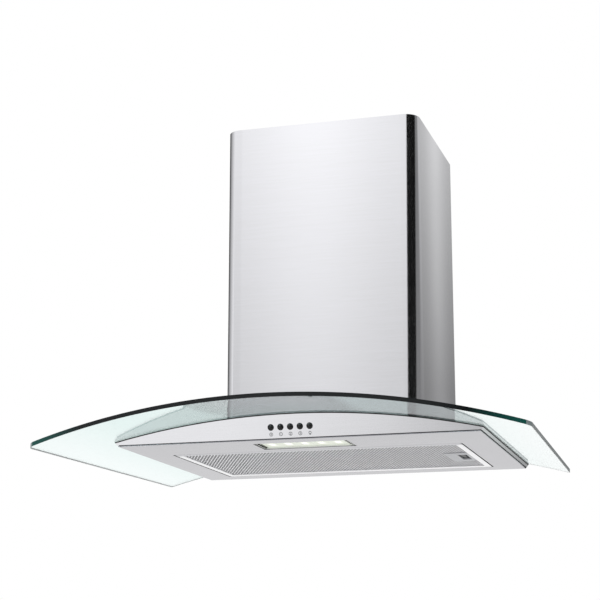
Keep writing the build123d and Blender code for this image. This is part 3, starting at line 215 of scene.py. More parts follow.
def shaded_place(tree, plain, x_mm, y_mm, front, back):
    """The plain colour, but within a range of |X| and of Y painted light and shade, which goes from one
    colour at the front of the range to another at its back."""
    y = object_place(tree)[1]
    along = add_node(
        tree, "ShaderNodeMapRange", {"Value": y, "From Min": y_mm[0] * MM, "From Max": y_mm[1] * MM}
    )
    mix = {"Factor": along.outputs[0], 6: linear(front), 7: linear(back)}
    shade = add_node(tree, "ShaderNodeMix", mix, data_type="RGBA")
    inside = within_place(tree, x_mm, y_mm)
    painted_shading = add_node(
        tree, "ShaderNodeMix", {"Factor": inside, 6: plain, 7: shade.outputs[2]}, data_type="RGBA"
    )
    return painted_shading.outputs[2]


# ------------------------------------------------------------------ finishes
def brushed_stainless(name, grain_mm, low, high, rough=(0.16, 0.2), tangent=None, painted_shading=None, slit=None):
    """Stainless sheet, ground with a belt: soft reflections, broken up by fine scratches along the longest
    side of the grain. Real ones are about 0.1 mm wide, and they are drawn about 1 mm wide so that they show.
    A slit is a place where black, painted deep shade beside the sheet shows instead of the metal."""
    material, tree, out = new_material(name)
    height, tone = grain(tree, grain_mm, detail=5.0, rough=0.7)
    clouds = grain(tree, (160.0, 160.0, 160.0), detail=2.0)[1]
    mixed = add_node(
        tree, "ShaderNodeMix", {"Factor": tone, 6: linear(low), 7: linear(high)}, data_type="RGBA"
    )
    # Painted light and shade within a given place
    colour = shaded_place(tree, mixed.outputs[2], *painted_shading) if painted_shading else mixed.outputs[2]
    scratch_rough = add_node(
        tree, "ShaderNodeMapRange", {"Value": tone, "To Min": rough[0], "To Max": rough[1]}
    )
    cloud_rough = add_node(tree, "ShaderNodeMapRange", {"Value": clouds, "To Min": -0.01, "To Max": 0.01})
    total = add_node(
        tree, "ShaderNodeMath", {0: scratch_rough.outputs[0], 1: cloud_rough.outputs[0]}, operation="ADD"
    )
    bump = add_node(tree, "ShaderNodeBump", {"Height": height, "Strength": 0.25, "Distance": 0.002 * MM})
    shader = add_node(
        tree,
        "ShaderNodeBsdfPrincipled",
        {
            "Base Color": colour,
            "Roughness": total.outputs[0],
            "Normal": bump.outputs[0],
            "Metallic": 1.0,
        },
    )
    if tangent:
        around = add_node(tree, "ShaderNodeTangent", direction_type="RADIAL", axis=tangent)
        tree.links.new(around.outputs[0], shader.inputs["Tangent"])
        shader.inputs["Anisotropic"].default_value = 0.5
        shader.inputs["Anisotropic Rotation"].default_value = 0.25
    surface = shader.outputs[0]
    # Painted shade: within the slit a black matt shader takes the place of the metal
    if slit:
        shade = add_node(tree, "ShaderNodeBsdfDiffuse", {"Color": linear("#141416")})
        inside = within_place(tree, *slit)
        surface = add_node(
            tree, "ShaderNodeMixShader", {0: inside, 1: surface, 2: shade.outputs[0]}
        ).outputs[0]
    tree.links.new(surface, out.inputs["Surface"])
    return material


def galvanised_sheet(name):
    """Hot-dip zinc on steel. Its crystals show as patches about 9 mm wide, 110 to the metre, that shine
    differently."""
    material, tree, out = new_material(name)
    place = add_node(tree, "ShaderNodeTexCoord")
    mapped = add_node(
        tree, "ShaderNodeMapping", {"Vector": place.outputs["Object"], "Scale": (110.0, 110.0, 110.0)}
    )
    crystals = add_node(tree, "ShaderNodeTexVoronoi", {"Vector": mapped.outputs[0], "Scale": 1.0})
    grey = add_node(tree, "ShaderNodeSeparateColor", {"Color": crystals.outputs["Color"]})
    mix = {"Factor": grey.outputs[0], 6: linear("#a4a7aa"), 7: linear("#c3c6c9")}
    colour = add_node(tree, "ShaderNodeMix", mix, data_type="RGBA")
    rough = add_node(tree, "ShaderNodeMapRange", {"Value": grey.outputs[1], "To Min": 0.32, "To Max": 0.5})
    shader = add_node(
        tree,
        "ShaderNodeBsdfPrincipled",
        {"Base Color": colour.outputs[2], "Roughness": rough.outputs[0], "Metallic": 1.0},
    )
    tree.links.new(shader.outputs[0], out.inputs["Surface"])
    return material


def plain_metal(name, low, high, rough, grain_mm):
    """Rolled or plated metal: a plain shine with fine mottling in its tone and its roughness."""
    material, tree, out = new_material(name)
    tone = grain(tree, (grain_mm, grain_mm, grain_mm))[1]
    colour = add_node(
        tree, "ShaderNodeMix", {"Factor": tone, 6: linear(low), 7: linear(high)}, data_type="RGBA"
    )
    roughness = add_node(
        tree, "ShaderNodeMapRange", {"Value": tone, "To Min": rough - 0.04, "To Max": rough + 0.04}
    )
    shader = add_node(
        tree,
        "ShaderNodeBsdfPrincipled",
        {"Base Color": colour.outputs[2], "Roughness": roughness.outputs[0], "Metallic": 1.0},
    )
    tree.links.new(shader.outputs[0], out.inputs["Surface"])
    return material


def layered_aluminium(name):
    """Layers of fine aluminium mesh: plain towards the fan, and painted deep in shade towards the outer
    layer, through which they are seen. They have no shine at flat angles."""
    material, tree, out = new_material(name)
    z = object_place(tree)[2]
    low, high = CORE_SHADE_RISE
    rise = add_node(tree, "ShaderNodeMapRange", {"Value": z, "From Min": low * MM, "From Max": high * MM})
    tone = grain(tree, (2.4, 3.4, 2.4))[1]
    plain = add_node(
        tree, "ShaderNodeMix", {"Factor": tone, 6: linear("#9b9da1"), 7: linear("#c6c8cb")}, data_type="RGBA"
    )
    shade = add_node(
        tree, "ShaderNodeMix", {"Factor": tone, 6: linear("#1c1d1f"), 7: linear("#2e2f33")}, data_type="RGBA"
    )
    # Painted shade: darker towards the outer layer
    mix = {"Factor": rise.outputs[0], 6: shade.outputs[2], 7: plain.outputs[2]}
    colour = add_node(tree, "ShaderNodeMix", mix, data_type="RGBA")
    roughness = add_node(tree, "ShaderNodeMapRange", {"Value": tone, "To Min": 0.5, "To Max": 0.6})
    shader = add_node(
        tree,
        "ShaderNodeBsdfPrincipled",
        {
            "Base Color": colour.outputs[2],
            "Roughness": roughness.outputs[0],
            "Metallic": 1.0,
            "Specular Tint": (0.1, 0.1, 0.1, 1.0),
        },
    )
    tree.links.new(shader.outputs[0], out.inputs["Surface"])
    return material


def filter_aluminium(name):
    """Rolled aluminium of the filter's frame: bright, with a fine grain along X and painted shade on the
    front lip.
    """
    material, tree, out = new_material(name)
    y = object_place(tree)[1]
    start, end = FRONT_LIP_SHADE
    front = add_node(tree, "ShaderNodeMapRange", {"Value": y, "From Min": start * MM, "From Max": end * MM})
    tone = grain(tree, (40.0, 1.5, 1.5))[1]
    bright = add_node(
        tree, "ShaderNodeMix", {"Factor": tone, 6: linear("#fafafc"), 7: linear("#ffffff")}, data_type="RGBA"
    )
    # Painted shade: the front lip is coloured a darker grey
    mix = {"Factor": front.outputs[0], 6: bright.outputs[2], 7: linear("#c8c8cc")}
    colour = add_node(tree, "ShaderNodeMix", mix, data_type="RGBA")
    roughness = add_node(tree, "ShaderNodeMapRange", {"Value": tone, "To Min": 0.32, "To Max": 0.4})
    shader = add_node(
        tree,
        "ShaderNodeBsdfPrincipled",
        {"Base Color": colour.outputs[2], "Roughness": roughness.outputs[0], "Metallic": 1.0},
    )
    tree.links.new(shader.outputs[0], out.inputs["Surface"])
    return material


def moulded_plastic(name, low, high, rough, texture_mm=0.8, shine=0.5, painted_shading=None):
    """Injection-moulded plastic or rubber: a spark-eroded texture that breaks up the shine, and flow marks
    that vary the colour a little."""
    material, tree, out = new_material(name)
    height, pits = grain(tree, (texture_mm, texture_mm, texture_mm), detail=2.0)
    flow = grain(tree, (30.0, 30.0, 30.0), detail=2.0)[1]
    mixed = add_node(
        tree, "ShaderNodeMix", {"Factor": flow, 6: linear(low), 7: linear(high)}, data_type="RGBA"
    )
    # Painted light and shade within a given place
    colour = shaded_place(tree, mixed.outputs[2], *painted_shading) if painted_shading else mixed.outputs[2]
    roughness = add_node(
        tree, "ShaderNodeMapRange", {"Value": pits, "To Min": rough - 0.05, "To Max": rough + 0.05}
    )
    bump = add_node(tree, "ShaderNodeBump", {"Height": height, "Strength": 0.3, "Distance": 0.02 * MM})
    shader = add_node(
        tree,
        "ShaderNodeBsdfPrincipled",
        {
            "Base Color": colour,
            "Roughness": roughness.outputs[0],
            "Normal": bump.outputs[0],
            "IOR": 1.5,
            "Specular IOR Level": shine,
        },
    )
    tree.links.new(shader.outputs[0], out.inputs["Surface"])
    return material


def float_glass(name):
    """Toughened float glass: a green cast from its iron, a little deeper over the body, where it shows more,
    a faint roller wave, and a slight dip of its front above the buttons, so that it mirrors the plain fascia
    there and not the buttons."""
    material, tree, out = new_material(name)
    x, y, _ = object_place(tree)
    away = add_node(tree, "ShaderNodeMath", {0: x}, operation="ABSOLUTE")
    start, end = WING_WIDTH
    wing = add_node(
        tree, "ShaderNodeMapRange", {"Value": away.outputs[0], "From Min": start * MM, "From Max": end * MM}
    )
    start, end = DIP_WIDTH
    aside = add_node(
        tree,
        "ShaderNodeMapRange",
        {"Value": away.outputs[0], "From Min": start * MM, "From Max": end * MM},
        interpolation_type="SMOOTHSTEP",
    )
    start, end = DIP_TINT_LENGTH
    near = add_node(tree, "ShaderNodeMapRange", {"Value": y, "From Min": start * MM, "From Max": end * MM})
    clear = add_node(
        tree, "ShaderNodeMath", {0: near.outputs[0], 1: aside.outputs[0]}, operation="MULTIPLY"
    )
    mix = {"Factor": clear.outputs[0], 6: linear("#dcf0ed"), 7: linear("#f2ffff")}
    middle = add_node(tree, "ShaderNodeMix", mix, data_type="RGBA")
    mix = {"Factor": wing.outputs[0], 6: middle.outputs[2], 7: linear("#f3fcfb")}
    tint = add_node(tree, "ShaderNodeMix", mix, data_type="RGBA")
    start, end = DIP_LENGTH
    ahead = add_node(tree, "ShaderNodeMapRange", {"Value": y, "From Min": start * MM, "From Max": end * MM})
    square = add_node(
        tree, "ShaderNodeMath", {0: ahead.outputs[0], 1: ahead.outputs[0]}, operation="MULTIPLY"
    )
    dip = add_node(tree, "ShaderNodeMath", {0: square.outputs[0], 1: aside.outputs[0]}, operation="MULTIPLY")
    dipped = add_node(
        tree, "ShaderNodeBump", {"Height": dip.outputs[0], "Strength": 1.0, "Distance": DIP_DEPTH * MM}
    )
    wave = grain(tree, (240.0, 90.0, 240.0), detail=1.0)[0]
    waved = add_node(
        tree,
        "ShaderNodeBump",
        {"Height": wave, "Normal": dipped.outputs[0], "Strength": 0.1, "Distance": 0.05 * MM},
    )
    shader = add_node(
        tree,
        "ShaderNodeBsdfPrincipled",
        {
            "Base Color": tint.outputs[2],
            "Normal": waved.outputs[0],
            "Roughness": 0.0,
            "IOR": 1.52,
            "Specular IOR Level": 0.1,
            "Transmission Weight": 1.0,
        },
    )
    tree.links.new(shader.outputs[0], out.inputs["Surface"])
    return material


def polished_glass_edge(name, middle, ends):
    """Ground and polished edge of float glass: light runs far inside the sheet before it comes out there, so
    the edge is painted nearly black in the middle of the front and green towards the ends: painted shade and
    light."""
    material, tree, out = new_material(name)
    x = object_place(tree)[0]
    away = add_node(tree, "ShaderNodeMath", {0: x}, operation="ABSOLUTE")
    start, end = GREEN_EDGE_WIDTH
    reach = add_node(
        tree, "ShaderNodeMapRange", {"Value": away.outputs[0], "From Min": start * MM, "From Max": end * MM}
    )
    mix = {"Factor": reach.outputs[0], 6: linear(middle), 7: linear(ends)}
    colour = add_node(tree, "ShaderNodeMix", mix, data_type="RGBA")
    ripple = grain(tree, (6.0, 6.0, 1.0))[1]
    roughness = add_node(tree, "ShaderNodeMapRange", {"Value": ripple, "To Min": 0.08, "To Max": 0.16})
    shader = add_node(
        tree,
        "ShaderNodeBsdfPrincipled",
        {
            "Base Color": colour.outputs[2],
            "Roughness": roughness.outputs[0],
            "IOR": 1.52,
            "Specular IOR Level": 0.25,
        },
    )
    tree.links.new(shader.outputs[0], out.inputs["Surface"])
    return material


def lamp_end_slots(tree):
    """1 where a place of the lamp lies in one of the slots between the ribs at its two ends, 0 elsewhere."""
    x, y, _ = object_place(tree)
    moved = add_node(tree, "ShaderNodeMath", {0: x, 1: SLOT_SHIFT * MM}, operation="ADD")
    away = add_node(tree, "ShaderNodeMath", {0: moved.outputs[0]}, operation="ABSOLUTE")
    at_end = between_places(tree, away.outputs[0], SLOT_MIDDLE - SLOT_REACH, SLOT_MIDDLE + SLOT_REACH)
    middle = add_node(tree, "ShaderNodeMath", {0: y, 1: -LAMP_CENTRE_Y * MM}, operation="ADD")
    turn = add_node(
        tree,
        "ShaderNodeMath",
        {0: middle.outputs[0], 1: 2 * math.pi / (RIB_PITCH * MM)},
        operation="MULTIPLY",
    )
    beat = add_node(tree, "ShaderNodeMath", {0: turn.outputs[0]}, operation="COSINE")
    between = add_node(tree, "ShaderNodeMath", {0: beat.outputs[0], 1: 0.1}, operation="LESS_THAN")
    return add_node(
        tree, "ShaderNodeMath", {0: at_end, 1: between.outputs[0]}, operation="MULTIPLY"
    ).outputs[0]


def lit_lens(name):
    """Frosted lens with the lamp on: pale, a little warmer and brighter over each of the LEDs, and painted
    black shade of the slots between the ribs at its two ends."""
    material, tree, out = new_material(name)
    x, y, _ = object_place(tree)
    turn = add_node(
        tree, "ShaderNodeMath", {0: x, 1: 2 * math.pi / (CHIP_PITCH * MM)}, operation="MULTIPLY"
    )
    beat = add_node(tree, "ShaderNodeMath", {0: turn.outputs[0]}, operation="COSINE")
    spots = add_node(tree, "ShaderNodeMapRange", {"Value": beat.outputs[0]})
    middle = add_node(tree, "ShaderNodeMath", {0: y, 1: -LAMP_CENTRE_Y * MM}, operation="ADD")
    off = add_node(tree, "ShaderNodeMath", {0: middle.outputs[0]}, operation="ABSOLUTE")
    near = add_node(
        tree,
        "ShaderNodeMapRange",
        {"Value": off.outputs[0], "From Min": CHIP_GLOW_REACH * MM, "From Max": 0.0},
    )
    glow = add_node(tree, "ShaderNodeMath", {0: spots.outputs[0], 1: near.outputs[0]}, operation="MULTIPLY")
    mix = {"Factor": glow.outputs[0], 6: linear("#dde2d4"), 7: linear("#fffff4")}
    plain = add_node(tree, "ShaderNodeMix", mix, data_type="RGBA")
    # Painted shade in the slots at the lamp's ends
    mix = {"Factor": lamp_end_slots(tree), 6: plain.outputs[2], 7: linear("#101010")}
    colour = add_node(tree, "ShaderNodeMix", mix, data_type="RGBA")
    strength = add_node(
        tree, "ShaderNodeMapRange", {"Value": glow.outputs[0], "To Min": 0.25, "To Max": 0.75}
    )
    shader = add_node(
        tree,
        "ShaderNodeBsdfPrincipled",
        {
            "Base Color": colour.outputs[2],
            "Emission Color": colour.outputs[2],
            "Emission Strength": strength.outputs[0],
            "Roughness": 0.35,
            "IOR": 1.49,
            "Specular IOR Level": 0.3,
        },
    )
    tree.links.new(shader.outputs[0], out.inputs["Surface"])
    return material


def ribbed_housing(name):
    """Moulded ABS of the lamp: pale and dull, with painted deep shade in the slots between the ribs at its
    two ends."""
    material, tree, out = new_material(name)
    flow = grain(tree, (30.0, 30.0, 30.0), detail=2.0)[1]
    plain = add_node(
        tree, "ShaderNodeMix", {"Factor": flow, 6: linear("#dcdedb"), 7: linear("#e6e8e4")}, data_type="RGBA"
    )
    # Painted shade in the slots at the lamp's ends
    mix = {"Factor": lamp_end_slots(tree), 6: plain.outputs[2], 7: linear("#0a0a0a")}
    colour = add_node(tree, "ShaderNodeMix", mix, data_type="RGBA")
    pits = grain(tree, (0.8, 0.8, 0.8), detail=2.0)[1]
    roughness = add_node(tree, "ShaderNodeMapRange", {"Value": pits, "To Min": 0.5, "To Max": 0.6})
    shader = add_node(
        tree,
        "ShaderNodeBsdfPrincipled",
        {
            "Base Color": colour.outputs[2],
            "Roughness": roughness.outputs[0],
            "IOR": 1.5,
            "Specular IOR Level": 0.1,
        },
    )
    tree.links.new(shader.outputs[0], out.inputs["Surface"])
    return material


# Belt-ground stainless. The covers are ground round and mirror the room in long upright streaks.
cover_stainless = brushed_stainless(
    "stainless_cover_horizontal_grain", (50.0, 50.0, 1.0), "#dbdbde", "#dfdfe3", (0.09, 0.12), tangent="Z"
)
# The body is ground along X and duller. Its sides stand in painted shade that deepens towards the wall.
body_stainless = brushed_stainless(
    "stainless_body_grain_along_x",
    (70.0, 1.2, 1.2),
    "#dadadd",
    "#e0e0e3",
    painted_shading=(*BODY_SIDE_SHADE, "#ccd3d2", "#808386"),
)
# The underside faces away from the light, so it is painted darker, and black shade is painted in the slit
# beside the filter.
panel_stainless = brushed_stainless(
    "stainless_panel_grain_along_x", (70.0, 1.2, 1.2), "#88878d", "#a2a1a7", slit=FILTER_SLIT_SHADE
)
zinc_sheet = galvanised_sheet("galvanised_sheet")
# Zinc plating gives small fasteners a soft pale shine, and the slit mesh sparkles because it is nearly white
zinc_screw = plain_metal("zinc_plated_screw", "#b4b4b0", "#c6c5bf", 0.3, 0.8)
mesh_aluminium = plain_metal("expanded_aluminium", "#f0f0f3", "#fcfcff", 0.32, 1.2)
bright_aluminium = filter_aluminium("bright_rolled_aluminium")
core_aluminium = layered_aluminium("layered_mesh_aluminium")
canopy_glass = float_glass("toughened_float_glass")
# The front edge is painted dark, turning green towards its ends. The side edges, seen along the sheet, are
# painted grey.
front_edge = polished_glass_edge("polished_glass_front_edge", "#0f1315", "#16514a")
side_edge = polished_glass_edge("polished_glass_side_edge", "#7f8a8a", "#858f90")
# Rubber is black and dull, so a seam reads as a thin dark line. On the body's sides the seam is painted pale,
# for the light it catches.
seal_rubber = moulded_plastic("black_sealing_rubber", "#111112", "#19191a", 0.6)
seam_rubber = moulded_plastic(
    "black_seam_rubber", "#111112", "#19191a", 0.6, painted_shading=(*SEAM_SIDE_LIGHT, "#c4c8c8", "#b0b4b4")
)
# Nylon and ABS of the fan, the duct and the switches: dark with a dull sheen
fan_nylon = moulded_plastic("dark_grey_nylon", "#232427", "#2c2d30", 0.45)
black_abs = moulded_plastic("black_abs", "#0f0f10", "#161617", 0.4)
# The buttons come from a polished mould, so each shows a small bright highlight
button_abs = moulded_plastic("gloss_black_abs", "#060607", "#0b0b0d", 0.12, shine=0.4)
# Pale mouldings: the latch's plate like brushed metal from afar, the electric boxes like putty
silver_abs = moulded_plastic("silver_grey_abs", "#b4b5b9", "#bebfc3", 0.38)
light_abs = ribbed_housing("light_grey_ribbed_abs")
case_abs = moulded_plastic("pale_grey_flameproof_abs", "#bdbdb8", "#c8c8c2", 0.5)
# Lacquer and enamel: smooth coats with a clear shine, white on the lamp's board and dark on the motor
board_lacquer = moulded_plastic("white_board_lacquer", "#e2e3de", "#ecede8", 0.35)
motor_enamel = moulded_plastic("dark_motor_enamel", "#3a3c40", "#46484c", 0.35, texture_mm=2.0)
# Printed ink lies flat and dark grey on the steel
printed_grey = moulded_plastic("grey_screen_print_ink", "#3c3d40", "#48494c", 0.5)
lamp_lens_lit = lit_lens("frosted_lens_lit")
# The phosphor in an LED is a matt yellow
led_yellow = moulded_plastic("led_phosphor", "#f0e49a", "#f6ecab", 0.4)


# ------------------------------------------------------------------ making pieces
def make_piece(bm, name, materials, body, replaced=(), sharp_angle=35.0):
    """Turns a bmesh into a piece of the hood that rides on a body and stands for the replaced nodes."""
    bmesh.ops.recalc_face_normals(bm, faces=bm.faces[:])
    mesh = bpy.data.meshes.new(name)
    bm.to_mesh(mesh)
    bm.free()
    for material in materials:
        mesh.materials.append(material)
    mesh.shade_smooth()
    mesh.set_sharp_from_angle(angle=math.radians(sharp_angle))
    piece = bpy.data.objects.new(name, mesh)
    bpy.context.collection.objects.link(piece)
    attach(piece, body)
    if replaced:
        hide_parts(*replaced)
    return piece


def slice_along(bm, axis, places_mm, test=lambda c: True):
    """Cuts the faces whose middle passes the test at these places along X, Y or Z."""
    normal = Vector([1.0 if i == axis else 0.0 for i in range(3)])
    for place in places_mm:
        faces = [f for f in bm.faces if test(f.calc_center_median())]
        verts = list({v for f in faces for v in f.verts})
        edges = list({e for f in faces for e in f.edges})
        bmesh.ops.bisect_plane(
            bm, geom=verts + edges + faces, plane_co=normal * place, plane_no=normal, dist=1e-4
        )


def drop_faces(bm, test):
    """Removes the faces whose middle passes the test, with what only they used."""
    gone = [f for f in bm.faces if test(f.calc_center_median())]
    bmesh.ops.delete(bm, geom=gone, context="FACES")


def soften_edges(bm, width_mm, angle):
    """Takes the sharpness off every edge that turns by more than the angle."""
    bm.normal_update()
    sharp = [e for e in bm.edges if e.is_manifold and e.calc_face_angle(0.0) > math.radians(angle)]
    bmesh.ops.bevel(
        bm,
        geom=sharp,
        offset=width_mm,
        offset_type="OFFSET",
        segments=2,
        profile=0.5,
        affect="EDGES",
        material=-1,
        clamp_overlap=True,
    )


def to_metres(bm):
    """Turns a bmesh that is drawn in millimetres to metres."""
    bmesh.ops.scale(bm, vec=(MM, MM, MM), verts=bm.verts[:])


def arch_z(x, radius):
    """How high the arch of this radius stands at x."""
    return ARCH_CENTRE_Z + math.sqrt(radius**2 - x**2)


def box_mesh(bm, low, high):
    """A box between two corners, in the mesh's own units."""
    made = bmesh.ops.create_cube(bm, size=1.0)["verts"]
    size = [end - start for start, end in zip(low, high)]
    middle = [(end + start) / 2 for start, end in zip(low, high)]
    bmesh.ops.scale(bm, vec=size, verts=made)
    bmesh.ops.translate(bm, vec=middle, verts=made)


# ------------------------------------------------------------------ glass canopy
def glass_pane():
    """The canopy: cut flat with its bowed front and round corners, then bent over the arch."""
    bm = bmesh.new()
    half_front = GLASS_FRONT_WIDTH / 2
    half_back = GLASS_BACK_WIDTH / 2
    bow_radius = (half_front**2 + GLASS_BOW**2) / (2 * GLASS_BOW)
    corner_y = -GLASS_DEPTH + GLASS_BOW
    start = bm.verts.new((-half_front, corner_y, 0))
    bow_centre = (0, -GLASS_DEPTH + bow_radius, 0)
    turn = 2 * math.asin(half_front / bow_radius)
    spun = bmesh.ops.spin(
        bm, geom=[start], cent=bow_centre, axis=(0, 0, 1), angle=turn, steps=72, use_duplicate=False
    )
    end = [v for v in spun["geom_last"] if isinstance(v, bmesh.types.BMVert)][0]
    back_right = bm.verts.new((half_back, -GLASS_BACK_GAP, 0))
    back_left = bm.verts.new((-half_back, -GLASS_BACK_GAP, 0))
    bm.edges.new((end, back_right))
    bm.edges.new((back_right, back_left))
    bm.edges.new((back_left, start))
    for pair, corner, segments in (
        ([start, end], GLASS_FRONT_CORNER, 14),
        ([back_left, back_right], GLASS_BACK_CORNER, 12),
    ):
        bmesh.ops.bevel(
            bm, geom=pair, offset=corner, segments=segments, profile=0.5, affect="VERTICES", material=-1
        )
    bmesh.ops.contextual_create(bm, geom=bm.edges[:])
    slices = [GLASS_SLICE * i for i in range(-49, 50)]
    slice_along(bm, 0, slices + [-GLASS_CUT_HALF_WIDTH, GLASS_CUT_HALF_WIDTH])
    slice_along(bm, 1, [GLASS_CUT_FRONT, GLASS_CUT_BACK])
    drop_faces(
        bm,
        lambda c: abs(c.x) < GLASS_CUT_HALF_WIDTH and GLASS_CUT_FRONT < c.y < GLASS_CUT_BACK,
    )
    raised = bmesh.ops.extrude_face_region(bm, geom=bm.faces[:])
    for vert in [v for v in raised["geom"] if isinstance(v, bmesh.types.BMVert)]:
        vert.co.z = 1.0
    for vert in bm.verts:
        vert.co.z = arch_z(vert.co.x, GLASS_TOP if vert.co.z > 0.5 else GLASS_UNDERSIDE)
    bmesh.ops.recalc_face_normals(bm, faces=bm.faces[:])
    soften_edges(bm, GLASS_ARRIS, angle=60.0)
    bm.normal_update()
    for face in bm.faces:
        if abs(face.normal.z) < 0.75:
            front = face.calc_center_median().y < corner_y and face.normal.y < -0.5
            face.material_index = 1 if front else 2
    to_metres(bm)
    make_piece(
        bm,
        "curved_glass_pane",
        (canopy_glass, front_edge, side_edge),
        "hood",
        ["glass_canopy"],
        sharp_angle=9.0,
    )


# ------------------------------------------------------------------ chimney covers
def chimney_cover(name, node, body, inset, foot, top, follows_glass):
    """One folded cover: front and sides with round corners, and a lip along the wall on each side."""
    half = COVER_WIDTH / 2 - inset
    front = -COVER_DEPTH + inset
    corner = COVER_CORNER - inset
    bm = bmesh.new()
    box_mesh(bm, (-half, front, foot), (half, -inset, top))
    bm.normal_update()
    corners = [
        e
        for e in bm.edges
        if abs(e.verts[0].co.z - e.verts[1].co.z) > 1.0 and max(v.co.y for v in e.verts) < front + 1.0
    ]
    bmesh.ops.bevel(
        bm, geom=corners, offset=corner, segments=16, profile=0.5, affect="EDGES", material=-1
    )
    inner = half - COVER_LIP
    slice_along(bm, 0, [inner, -inner], lambda c: c.y > -inset - 0.01)
    drop_faces(bm, lambda c: c.z > top - 0.01 or c.z < foot + 0.01)
    drop_faces(bm, lambda c: c.y > -inset - 0.01 and abs(c.x) < inner)
    slice_along(bm, 0, [COVER_SLICE * i for i in range(-18, 19)], lambda c: abs(c.x) < half - corner)
    if follows_glass:
        for vert in bm.verts:
            if vert.co.z < foot + 0.01:
                vert.co.z = arch_z(vert.co.x, GLASS_TOP + COVER_GLASS_GAP)
    bmesh.ops.recalc_face_normals(bm, faces=bm.faces[:])
    outward = [f for f in bm.faces if f.calc_center_median().y < front + 0.01]
    if outward and outward[0].normal.y > 0:
        bmesh.ops.reverse_faces(bm, faces=bm.faces[:])
    bmesh.ops.solidify(bm, geom=bm.faces[:], thickness=SHEET)
    to_metres(bm)
    make_piece(bm, name, (cover_stainless,), body, [node], sharp_angle=25.0)


# ------------------------------------------------------------------ grease filter
def expanded_mesh():
    """Outer layer of the filter: slit and stretched sheet. Real diamonds are about 3 mm by 7 mm, and they are
    drawn 4.4 mm by 9.6 mm so that they show."""
    bm = bmesh.new()
    bmesh.ops.create_grid(bm, x_segments=MESH_CELLS, y_segments=MESH_CELLS, size=MESH_CELLS / 2)
    wide, long = MESH_DIAMOND
    diagonal = math.sqrt(2)
    # Cells well outside the sheet go first, so that the cuts along its edges have less to do
    far = (MESH_HALF_WIDTH + 8.0) * diagonal / wide
    near = (MESH_HALF_DEPTH + 12.0) * diagonal / long
    drop_faces(bm, lambda c: abs(c.x + c.y) / diagonal > near or abs(c.x - c.y) / diagonal > far)
    quarter = Matrix.Rotation(math.radians(45), 3, "Z")
    bmesh.ops.rotate(bm, cent=(0, 0, 0), matrix=quarter, verts=bm.verts[:])
    bmesh.ops.scale(bm, vec=(wide / diagonal, long / diagonal, 1.0), verts=bm.verts[:])
    for normal, reach in (
        ((1, 0, 0), MESH_HALF_WIDTH + MESH_OVERLAP),
        ((-1, 0, 0), MESH_HALF_WIDTH + MESH_OVERLAP),
        ((0, 1, 0), MESH_HALF_DEPTH + MESH_OVERLAP),
        ((0, -1, 0), MESH_HALF_DEPTH + MESH_OVERLAP),
    ):
        everything = bm.verts[:] + bm.edges[:] + bm.faces[:]
        bmesh.ops.bisect_plane(
            bm,
            geom=everything,
            plane_co=Vector(normal) * reach,
            plane_no=normal,
            dist=1e-4,
            clear_outer=True,
        )
    holes = bmesh.ops.inset_individual(bm, faces=bm.faces[:], thickness=MESH_STRAND, use_even_offset=True)
    strands = set(holes["faces"])
    bmesh.ops.delete(bm, geom=[f for f in bm.faces if f not in strands], context="FACES_ONLY")
    bmesh.ops.translate(bm, vec=(0, FILTER_CENTRE_Y, MESH_FACE_Z), verts=bm.verts[:])
    left, right = LATCH_WINDOW_X
    drop_faces(bm, lambda c: left < c.x < right and abs(c.y - LATCH_CENTRE_Y) < LATCH_WINDOW_REACH)
    loose = [e for e in bm.edges if not e.link_faces]
    bmesh.ops.delete(bm, geom=loose, context="EDGES")
    walls = bmesh.ops.extrude_edge_only(bm, edges=[e for e in bm.edges if e.is_boundary])["geom"]
    backs = [v for v in walls if isinstance(v, bmesh.types.BMVert)]
    bmesh.ops.translate(bm, vec=(0, 0, MESH_WALL), verts=backs)
    to_metres(bm)
    make_piece(
        bm, "expanded_metal_layer", (mesh_aluminium,), "filter", ["filter_mesh"], 30.0
    )


# ------------------------------------------------------------------ latch spring
def latch_coil():
    """The latch's coil spring, which shortens as the latch slides back on the real hood; here it keeps one
    length.
    """
    low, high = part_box("latch_spring")
    first = low[0] + SPRING_WIRE * MM
    length = high[0] - low[0] - 2 * SPRING_WIRE * MM
    middle = (0.0, (low[1] + high[1]) / 2, (low[2] + high[2]) / 2)
    bm = bmesh.new()
    bmesh.ops.create_circle(bm, cap_ends=False, radius=SPRING_WIRE * MM, segments=10)
    upright = Matrix.Rotation(math.radians(90), 3, "X")
    bmesh.ops.rotate(bm, cent=(0, 0, 0), matrix=upright, verts=bm.verts[:])
    bmesh.ops.translate(bm, vec=(first, middle[1], middle[2] + SPRING_RADIUS * MM), verts=bm.verts[:])
    steps = 20 * SPRING_TURNS
    bmesh.ops.spin(
        bm,
        geom=bm.verts[:] + bm.edges[:],
        cent=middle,
        axis=(1, 0, 0),
        dvec=(length / steps, 0, 0),
        angle=2 * math.pi * SPRING_TURNS,
        steps=steps,
    )
    bmesh.ops.holes_fill(bm, edges=[e for e in bm.edges if e.is_boundary], sides=0)
    coil = make_piece(bm, "latch_coil", (zinc_screw,), "filter", ["latch_spring"])
    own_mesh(coil)


# ------------------------------------------------------------------ buttons and their marks
def fascia_matrix(x, up, out=0.0):
    """Carries a shape drawn flat, facing +Z, onto the fascia at x, at a height up its slope."""
    across = Vector((1, 0, 0))
    slope = Vector((0, -math.sin(FASCIA_LEAN), math.cos(FASCIA_LEAN)))
    outward = Vector((0, -math.cos(FASCIA_LEAN), -math.sin(FASCIA_LEAN)))
    turn = Matrix((across, slope, outward)).transposed().to_4x4()
    foot = Vector((x, -BODY_DEPTH, 0))
    return Matrix.Translation(foot + slope * up + outward * out) @ turn


